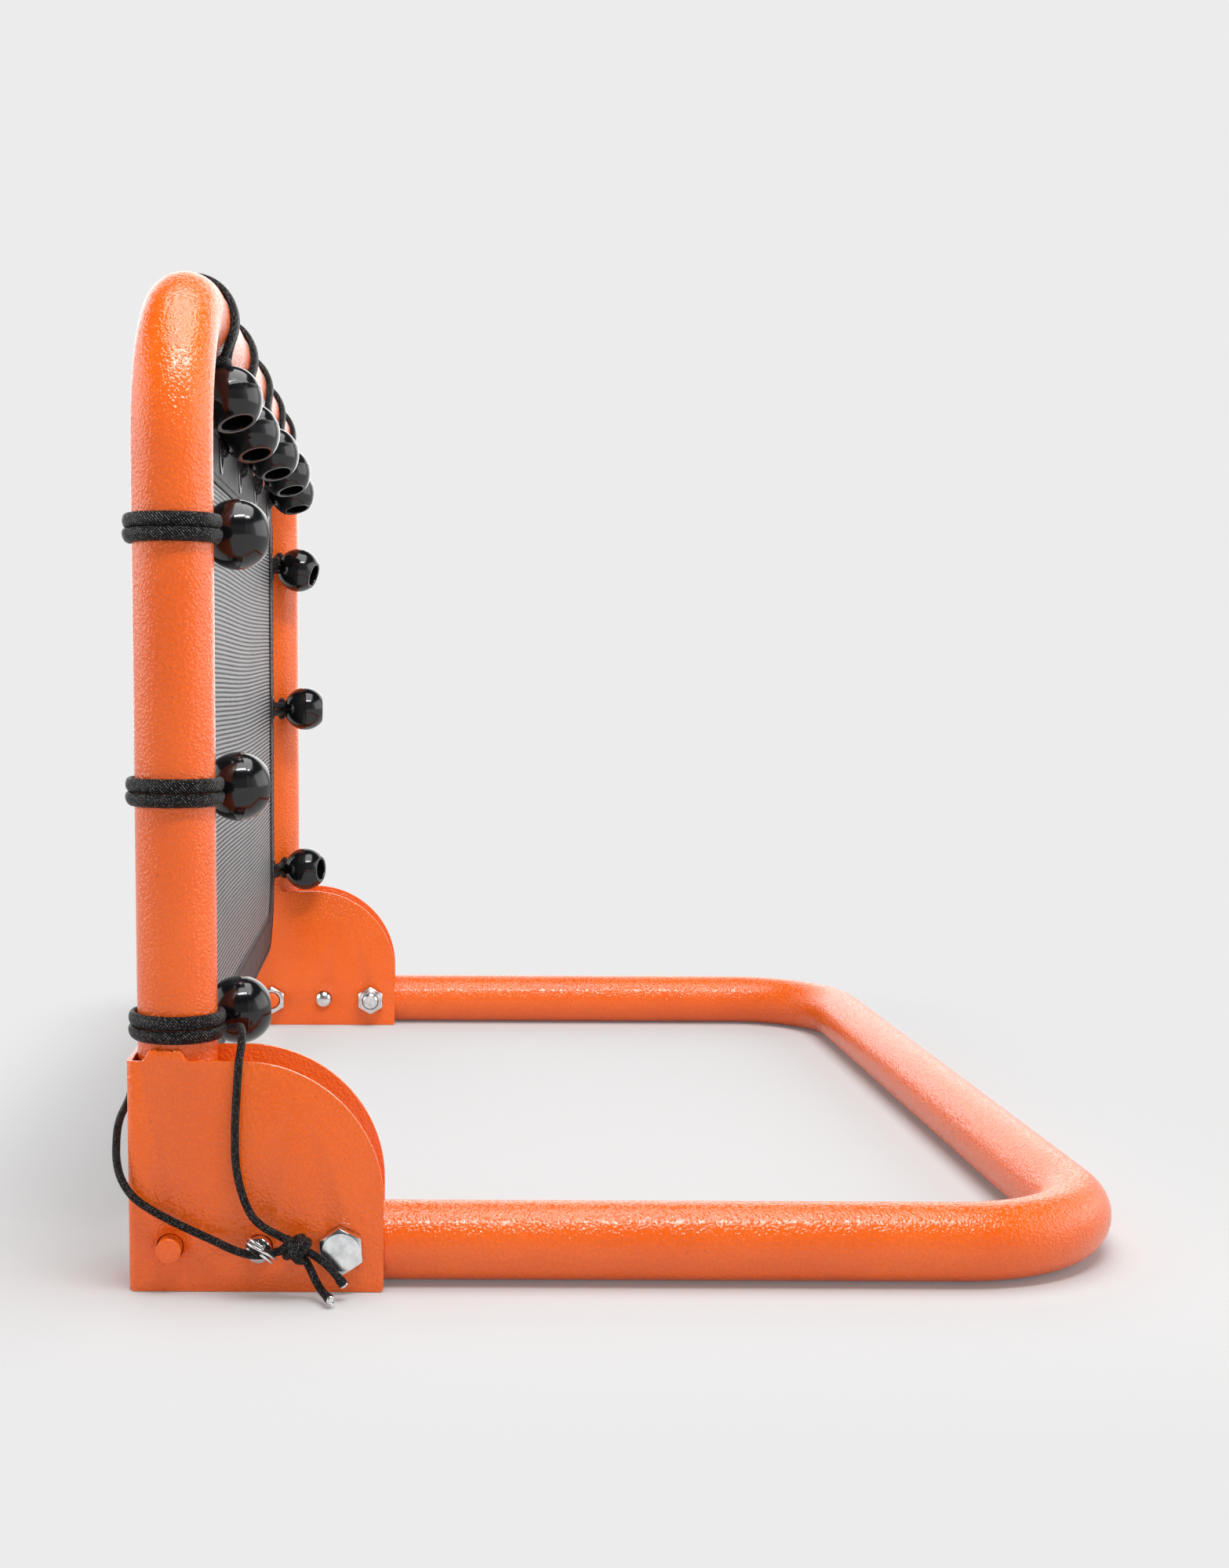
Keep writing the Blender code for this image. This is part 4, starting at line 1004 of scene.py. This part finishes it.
def pin_ring(side, node):
    """A split ring of two turns whose ends lie flush on each other's turn."""
    along = ring_axis(side)
    throw = -UP
    if side > 0:
        throw = RIGHT * math.cos(RIGHT_RING_LEAN) - along.cross(RIGHT) * math.sin(RIGHT_RING_LEAN)
    normal = along.cross(throw)
    share = np.linspace(0.0, 2.0, 161)
    angle = math.pi / 2 + 2 * math.pi * share
    aside = RING_PITCH * ((np.tanh(9 * (share - 1)) + 1 + share) / 2 - 1)
    turns = np.stack([RING_RADIUS * np.cos(angle), RING_THROW + RING_RADIUS * np.sin(angle), aside], axis=-1)
    path = np.array(ring_hole(side)) + turns @ np.array([along, throw, normal])
    wide, high = RING_HALF_WIRE
    section = eased([(-wide, -high), (wide, -high), (wide, high), (-wide, high)], 0.0004, closed=True)
    stand_in(node, swept(path, section, tuple(normal)), CHROME)


for side_sign, side_name in ((1, "right"), (-1, "left")):
    bracket(side_sign, "bracket_" + side_name)
    pivot_bolt(side_sign, "pivot_bolt_" + side_name)
    nut(side_sign, "pivot_nut_" + side_name, BOLT_BACK, True)
    cross_stud(side_sign, "cross_stud_" + side_name)
    nut(side_sign, "stud_nut_" + side_name, STUD_BACK, False)
    lock_pin(side_sign, "lock_pin_" + side_name)
    pin_ring(side_sign, "pin_ring_" + side_name)


# Bungees, balls and eyelets

def bungee_places():
    """Name, tube axis point, ways to the net and along it, ball centre, tilt and lean of each bungee."""
    places = []
    for name, (spot, gap, behind, tilt, lean) in BUNGEES.items():
        if name.startswith("top"):
            point, inward, along = Vector((spot, LEG_Y, BAR_HEIGHT)), -UP, RIGHT
        else:
            side = 1 if name.startswith("right") else -1
            point, inward, along = Vector((side * LEG_X, LEG_Y, spot)), RIGHT * -side, UP
        centre = TUBE_RADIUS + BALL_RADIUS + gap, BALL_RADIUS + behind
        places.append((name, point, inward, along, centre, math.radians(tilt), math.radians(lean)))
    return places


def polar(radius, angle):
    return np.array([radius * math.cos(angle), radius * math.sin(angle), 0.0])


def bungee_half(ball, tilt):
    """Half of a bungee's route, as (to the net, back, along): ball, tube, eyelet, hook behind the neck."""
    centre = np.array([*ball, 0.0])
    out = polar(1.0, tilt)
    over = polar(1.0, tilt + math.pi / 2)
    along = np.array([0.0, 0.0, 1.0])
    reaches = (BALL_SHOULDER, 0.0095, BALL_RADIUS + 0.0003)
    route = [centre - out * reach + along * NECK_STRAND for reach in reaches]
    neck = route[-1][:2]
    face = HEM_THICKNESS / 2 + EYELET_LIP + CORD_RADIUS + FIT_GAP
    edge = EYELET_AXIS - EYELET_BORE + CORD_RADIUS + 0.0012
    brink = np.array([edge - 0.0032, -face - 0.0003, 0.0])
    from_neck = math.atan2(neck[1], neck[0]) + math.acos(min(1.0, WRAP_LINE / np.linalg.norm(neck)))
    to_eyelet = 2 * math.pi + math.atan2(brink[1], brink[0]) - math.acos(WRAP_LINE / np.linalg.norm(brink))
    for t in np.linspace(0.0, 1.0, 29):
        wrap = polar(WRAP_LINE + 0.0002 * math.sin(math.pi * t), from_neck + (to_eyelet - from_neck) * t)
        route.append(wrap + along * (WRAP_WIDE + 0.00005))
    strand = CORD_RADIUS + 0.0002
    route += [brink + along * strand, np.array([edge, -face * 0.5, strand])]
    route.append(np.array([edge + 0.0006, face * 0.75, strand]))
    clear = BALL_RADIUS + CORD_RADIUS + 0.0002
    away = route[-1][:2] - ball
    behind = tilt - math.pi
    touch = math.atan2(away[1], away[0]) - math.acos(min(1.0, clear / np.linalg.norm(away)))
    touch = max(touch, behind + 0.15)
    wide = NECK_STRAND + 1.3 * CORD_RADIUS
    high = 1.5 * CORD_RADIUS
    for t in np.linspace(0.0, 1.0, 9):
        aside = strand + (wide - strand) * t ** 3
        around = polar(math.sqrt(clear ** 2 - aside ** 2), touch + (behind - touch) * t)
        route.append(centre + around + along * aside)
    for turn in (22, 45, 68, 90):
        aside = along * wide * math.cos(math.radians(turn)) + over * high * math.sin(math.radians(turn))
        route.append(centre + aside - out * math.sqrt(clear ** 2 - aside.dot(aside)))
    return route


def leaned(path, ball, tilt, lean):
    """The route with the part at the ball turned about its centre, so that the mouth leans along the tube."""
    centre = np.array([*ball, 0.0])
    out = polar(1.0, tilt)
    away = path - centre
    angle = lean * soft((BALL_RADIUS + LEAN_REACH - np.linalg.norm(away, axis=1)) / LEAN_FADE)
    deep = away @ out
    aside = away[:, 2].copy()
    turned_away = away + np.outer(deep * np.cos(angle) - aside * np.sin(angle) - deep, out)
    turned_away[:, 2] += deep * np.sin(angle) + aside * np.cos(angle) - aside
    return centre + turned_away


def ball_mesh():
    """A hollow ball with a rounded mouth, a cord hole, a seam where its mould closed and a stepped bore."""
    turns = np.linspace(math.asin(BALL_NECK / BALL_RADIUS), math.pi - math.acos(BALL_FLAT / BALL_RADIUS), 45)
    seam = 0.00012 * np.exp(-((turns - math.pi / 2) / 0.018) ** 2)
    outside = list(zip((BALL_RADIUS + seam - 0.00003) * np.sin(turns), (BALL_RADIUS + seam) * np.cos(turns)))
    inside = [(BALL_MOUTH + 0.0002, -BALL_FLAT), (BALL_MOUTH, -BALL_FLAT + 0.0006),
              (BALL_MOUTH, BALL_SHOULDER), (BALL_NECK, BALL_SHOULDER), (BALL_NECK, BALL_SHOULDER + 0.004)]
    return turned(eased(outside + inside, 0.0005, 4, closed=True), 72, closed=True)


def knot_mesh(height):
    """The lump of an overhand knot inside the ball: a cord coiled on itself."""
    t = np.linspace(0.0, 2 * math.pi, 49)
    coil = [(np.sin(t) + 2 * np.sin(2 * t)) * 0.00112, (np.cos(t) - 2 * np.cos(2 * t)) * 0.00112,
            height - 0.0024 - 0.0014 * np.sin(3 * t)]
    return braided(smooth_path(np.stack(coil, axis=-1), 0.0006), CORD_RADIUS * 0.96, (0, 0, 1), sides=16)


def eyelet_mesh():
    bore = EYELET_BORE
    barrel = bore + EYELET_WALL
    flange = bore + EYELET_FLANGE
    seat = HEM_THICKNESS / 2 + FIT_GAP
    face = seat + EYELET_LIP
    half = [(bore, 0.0), (bore, face - 0.0004), (bore + 0.0006, face), (bore + 0.0016, face),
            (flange - 0.0003, seat + 0.0003), (flange, seat), (barrel, seat)]
    profile = half + [(radius, -height) for radius, height in reversed(half[1:])]
    return turned(eased(profile, 0.0004, 3, closed=True), 56, closed=True)


def eyelet_place(point, inward):
    return frame_matrix(RIGHT, UP, -BACK, point + inward * EYELET_AXIS)


def bungee(name, point, inward, along, ball, tilt, lean):
    """One bungee with its cord, knot, ball and eyelet."""
    stand_in("eyelet_" + name, moved(eyelet_mesh(), eyelet_place(point, inward)), BLACK_STEEL)

    half = bungee_half(ball, tilt)
    mirror = [p * np.array([1, 1, -1]) for p in reversed(half[:-1])]
    local = leaned(smooth_path(half + mirror, 0.0008), ball, tilt, lean)
    pressed = soft((WRAP_LINE + PRESS_REACH - np.hypot(local[:, 0], local[:, 1])) / PRESS_FADE)
    radii = CORD_RADIUS + pressed[:, None] * (np.array([[WRAP_WIDE, WRAP_THIN]]) - CORD_RADIUS)
    cord_mesh = moved(braided(local, radii, (0, 0, 1)), frame_matrix(inward, BACK, along, point))
    out = inward * math.cos(tilt) + BACK * math.sin(tilt)
    centre = point + inward * ball[0] + BACK * ball[1]
    mouth = out * math.cos(lean) + along * math.sin(lean)
    across = along * math.cos(lean) - out * math.sin(lean)
    ball_place = frame_matrix(across, (-mouth).cross(across), -mouth, centre)
    knotted = joined([cord_mesh, moved(knot_mesh(BALL_SHOULDER), ball_place)])
    stand_in("bungee_" + name, knotted, ELASTIC)
    stand_in("ball_" + name, moved(ball_mesh(), ball_place), BALL_PLASTIC)


for bungee_place in bungee_places():
    bungee(*bungee_place)


# Net and hem

def hem_stations(step=0.0025):
    """Points of the hem's outer edge in the net's plane with their ways outward, as (x, z, x, z)."""
    side = LEG_X - NET_GAP
    top = BAR_HEIGHT - NET_GAP
    low = NET_CORNER_BOTTOM
    high = NET_CORNER_TOP
    bends = ((side - low, NET_BOTTOM + low, low, -90), (side - high, top - high, high, 0),
             (high - side, top - high, high, 90), (low - side, NET_BOTTOM + low, low, 180))
    corners = []
    for x, z, radius, start in bends:
        count = max(6, round(math.pi / 2 * radius / step))
        turns = [math.radians(start) + math.pi / 2 * i / count for i in range(count + 1)]
        ways = [(math.cos(t), math.sin(t)) for t in turns]
        corners.append([(x + radius * over, z + radius * up, over, up) for over, up in ways])
    stations = []
    for corner, following in zip(corners, corners[1:] + corners[:1]):
        x, z, *way = corner[-1]
        over, up = following[0][0] - x, following[0][1] - z
        count = max(1, round(math.hypot(over, up) / step))
        stations += corner + [(x + over * i / count, z + up * i / count, *way) for i in range(1, count)]
    return np.array(stations)


def hem_section():
    """The folded band across its width, as (inset, depth): a rounded outer fold and a slot for the net."""
    half = HEM_THICKNESS / 2
    slot = HEM_SLOT / 2
    root = HEM_WIDTH - HEM_SLOT_DEPTH
    side = [(inset, half - sum(STITCH_DENT * math.exp(-((inset - row) / 0.0007) ** 2) for row in STITCH_ROWS))
            for inset in (0.0035, 0.0070, 0.0110, 0.0150, 0.0165, 0.0190, 0.0215, 0.0225, 0.0238)]
    fold = [(half - half * math.cos(t), half * math.sin(t)) for t in np.linspace(-1.3, 1.3, 9)]
    front = side + [(HEM_WIDTH - 0.0003, half - 0.0001), (HEM_WIDTH, half - 0.0004), (HEM_WIDTH, slot)]
    back = [(inset, -depth) for inset, depth in reversed(front)]
    return np.array(fold + front + [(root, slot), (root, -slot)] + back)


def net_hem(stations):
    """The hem's band with gentle waves along it and a hole for each eyelet."""
    section = hem_section()
    walked = walked_along(stations[:, :2])
    waves = sum(size * np.sin(walked * 2 * math.pi / length + start) for size, length, start in HEM_WAVES)
    verts = []
    for (x, z, nx, nz), wave in zip(stations, waves):
        for inset, depth in section:
            swell = wave * (1 - abs(inset / HEM_WIDTH - 0.5))
            verts.append((x - nx * inset, LEG_Y - depth - swell, z - nz * inset))
    mesh = facing_out(make_mesh("hem", verts, ring_faces(len(stations), len(section), closed=True), 50.0))
    holes = [moved(rod(EYELET_BORE + EYELET_WALL + FIT_GAP, 0.02, 32), eyelet_place(point, inward))
             for _, point, inward, *_ in bungee_places()]
    return stand_in("net_hem", cut(mesh, [joined(holes)]), WEBBING)


def hem_stitches(stations):
    """Two rows of stitches on each face of the hem, as short raised threads that leave out the eyelets."""
    outline = np.vstack([stations, stations[:1]])
    walked = walked_along(outline[:, :2])
    dots = [point + inward * EYELET_AXIS for _, point, inward, *_ in bungee_places()]
    stitches = []
    for inset in STITCH_ROWS:
        for side in (1, -1):
            for mark in np.arange(0.0, walked[-1] - STITCH_PITCH / 2, STITCH_PITCH):
                ends = []
                for t in (mark, mark + STITCH_LENGTH / 2, mark + STITCH_LENGTH):
                    x, z, nx, nz = (np.interp(t, walked, outline[:, k]) for k in range(4))
                    ends.append(Vector((x - nx * inset, LEG_Y, z - nz * inset)))
                if min((ends[1] - dot).length for dot in dots) > EYELET_BORE + EYELET_FLANGE + 0.0004:
                    path = smooth_path([p - BACK * side * up for p, up in zip(ends, STITCH_LIFT)], 0.0007)
                    stitches.append(swept(path, round_points(6) * STITCH_RADIUS, (0, 1, 0)))
    return piece("hem_stitches", joined(stitches), THREAD, BODY_OF["net_hem"])


def net_sheet():
    """The mesh panel as one thin sheet with its cross ribs standing up from both faces."""
    right = LEG_X - NET_GAP - NET_INSET
    bottom = NET_BOTTOM + NET_INSET
    top = BAR_HEIGHT - NET_GAP - NET_INSET
    low = NET_CORNER_BOTTOM - NET_INSET
    high = NET_CORNER_TOP - NET_INSET
    rows = int(round((top - bottom) / RIB_PITCH * ROWS_PER_RIB))
    heights = np.linspace(bottom, top, rows + 1)
    half = np.full(rows + 1, right)
    for radius, depth in ((low, bottom + low - heights), (high, heights - top + high)):
        near = depth > 0
        half[near] -= radius - np.sqrt(np.maximum(0.0, radius ** 2 - depth[near] ** 2))
    x = half[:, None] * np.linspace(-1.0, 1.0, NET_COLUMNS + 1)[None]
    z = np.repeat(heights[:, None], NET_COLUMNS + 1, axis=1)
    inside = np.clip(np.minimum(z - bottom, top - z) / 0.02, 0.0, 1.0)
    z = z + RIB_WANDER * np.sin(x * 2 * math.pi / 0.40 + 1.1 * np.sin(z * 21)) * inside
    ridge = np.abs(np.cos(np.arange(rows + 1) * math.pi / ROWS_PER_RIB)) ** 0.7
    thick = (GROOVE_HEIGHT + RIB_HEIGHT * ridge)[:, None] + 0 * x
    layers = [np.stack([x, LEG_Y + sign * thick, z], axis=-1) for sign in (-1, 1)]
    verts = np.concatenate(layers).reshape(-1, 3)
    size = x.size
    index = np.arange(size).reshape(x.shape)
    a, b, c, d = index[:-1, :-1], index[:-1, 1:], index[1:, 1:], index[1:, :-1]
    rim = np.concatenate([index[0], index[1:, -1], index[-1, -2::-1], index[-2:0:-1, 0]])
    following = np.roll(rim, -1)
    faces = [np.stack([a, b, c, d], axis=-1), np.stack([d, c, b, a], axis=-1) + size,
             np.stack([following, rim, rim + size, following + size], axis=-1)]
    mesh = make_mesh("net", verts, np.concatenate([f.reshape(-1, 4) for f in faces]).tolist(), 80.0)
    ribs = np.arange(rows + 1)[:, None] / ROWS_PER_RIB + 0 * x
    yarns = np.tile(np.stack([x / YARN_PITCH, ribs], axis=-1).reshape(-1, 2), (2, 1))
    corners = np.zeros(len(mesh.loops), np.int32)
    mesh.loops.foreach_get("vertex_index", corners)
    add_map(mesh, "yarn_map", yarns[corners])
    cut_off = (2 - math.pi / 2) * (low ** 2 + high ** 2)
    flat = (2 * right, top - bottom)
    return stand_in("rebound_net", mesh, MESH_CLOTH), flat, flat[0] * flat[1] - cut_off


hem_line = hem_stations()
hem = net_hem(hem_line)
stitches = hem_stitches(hem_line)
net, flat, area = net_sheet()


# Floor and light

BACKGROUND = 0.84          # linear: the photograph's even pale grey
WALLS = 1.05
CEILING = 0.03
FRONT_SHARE = 0.30         # how much of the background still shows in the shine toward the open front
FLOOR_COLOUR = 0.59
FLOOR_HALF = 6.0
FLOOR_DROP = 0.0002        # below the object's feet
BASE_MIDDLE = (0.0, -0.010, 0.0)      # of the box round the base, from which the floor's shadows fade
BASE_HALF = (0.280, 0.203, 1.0)
FADE = (0.02, 0.17)
# Name, place, target, size and watts of each softbox
LAMPS = (("key", (0.68, 0.16, 1.18), (0.10, -0.05, 0.10), (0.80, 0.10), 8.6),
         ("overhead", (0.10, 0.02, 1.18), (-0.15, -0.05, 0.0), (0.90, 0.90), 9.8),
         ("far_wall", (-1.50, 0.0, 0.70), (0.0, 0.0, 0.20), (2.5, 1.2), 14.0),
         ("left_wall", (0.0, -1.40, 0.70), (0.0, 0.0, 0.20), (1.6, 1.0), 7.5),
         ("right_wall", (0.0, 1.40, 0.70), (0.0, 0.0, 0.20), (1.6, 1.0), 7.0))


def floor():
    """A pale floor that keeps the shadows near the object and turns into the background farther out."""
    corners = [(x * FLOOR_HALF, y * FLOOR_HALF, -FLOOR_DROP) for x, y in ((-1, -1), (1, -1), (1, 1), (-1, 1))]
    mesh = make_mesh("floor", corners, [(0, 1, 2, 3)])
    item = add_object("floor", mesh)
    material = bpy.data.materials.new("floor")
    material.use_nodes = True
    material.node_tree.nodes.clear()
    n = Nodes(material.node_tree)
    outside = n.add("ShaderNodeNewGeometry").outputs["Position"]
    for operation, value in (("SUBTRACT", BASE_MIDDLE), ("ABSOLUTE", (0, 0, 0)), ("SUBTRACT", BASE_HALF),
                             ("MAXIMUM", (0, 0, 0))):
        step = n.add("ShaderNodeVectorMath", [(0, outside), (1, value)], operation=operation)
        outside = step.outputs["Vector"]
    distance = n.add("ShaderNodeVectorMath", [(0, outside)], operation="LENGTH").outputs["Value"]
    share = n.math("MULTIPLY", n.background_rays(), n.spread(distance, *FADE, 0.12, 1.0, kind="SMOOTHSTEP"))
    cloth = n.add("ShaderNodeBsdfDiffuse", [("Color", (*[FLOOR_COLOUR] * 3, 1))])
    glow = n.add("ShaderNodeEmission", [("Color", (*[BACKGROUND] * 3, 1))])
    links = [("Fac", share), (1, cloth.outputs["BSDF"]), (2, glow.outputs["Emission"])]
    mixed = n.add("ShaderNodeMixShader", links)
    n.add("ShaderNodeOutputMaterial", [("Surface", mixed.outputs["Shader"])])
    mesh.materials.append(material)


def world():
    """A studio with pale walls, a dimmer front and a dim ceiling, before an even background."""
    scene_world = bpy.data.worlds.new("room")
    bpy.context.scene.world = scene_world
    scene_world.use_nodes = True
    n = Nodes(scene_world.node_tree)
    way = n.axes("Generated")
    shine = n.spread(way["X"], 0.30, 0.85, BACKGROUND, BACKGROUND * FRONT_SHARE, kind="SMOOTHSTEP")
    wall = n.spread(n.background_rays(), 0.0, 1.0, WALLS, shine)
    above = n.spread(way["Z"], 0.34, 0.62, kind="SMOOTHSTEP")
    room = n.spread(above, 0.0, 1.0, wall, CEILING)
    camera = n.add("ShaderNodeLightPath").outputs["Is Camera Ray"]
    shader = n.tree.nodes["Background"]
    shader.inputs["Color"].default_value = (1.0, 1.0, 1.0, 1)
    n.tree.links.new(n.spread(camera, 0.0, 1.0, room, BACKGROUND), shader.inputs["Strength"])


def softbox(name, place, target, size, power):
    data = bpy.data.lights.new(name, "AREA")
    data.shape = "RECTANGLE"
    data.size, data.size_y = size
    data.energy = power
    add_object(name, data).matrix_world = aimed(place, Vector(target) - Vector(place), "-Z")


floor()
world()
for lamp in LAMPS:
    softbox(*lamp)

bpy.context.scene.view_settings.view_transform = "Standard"
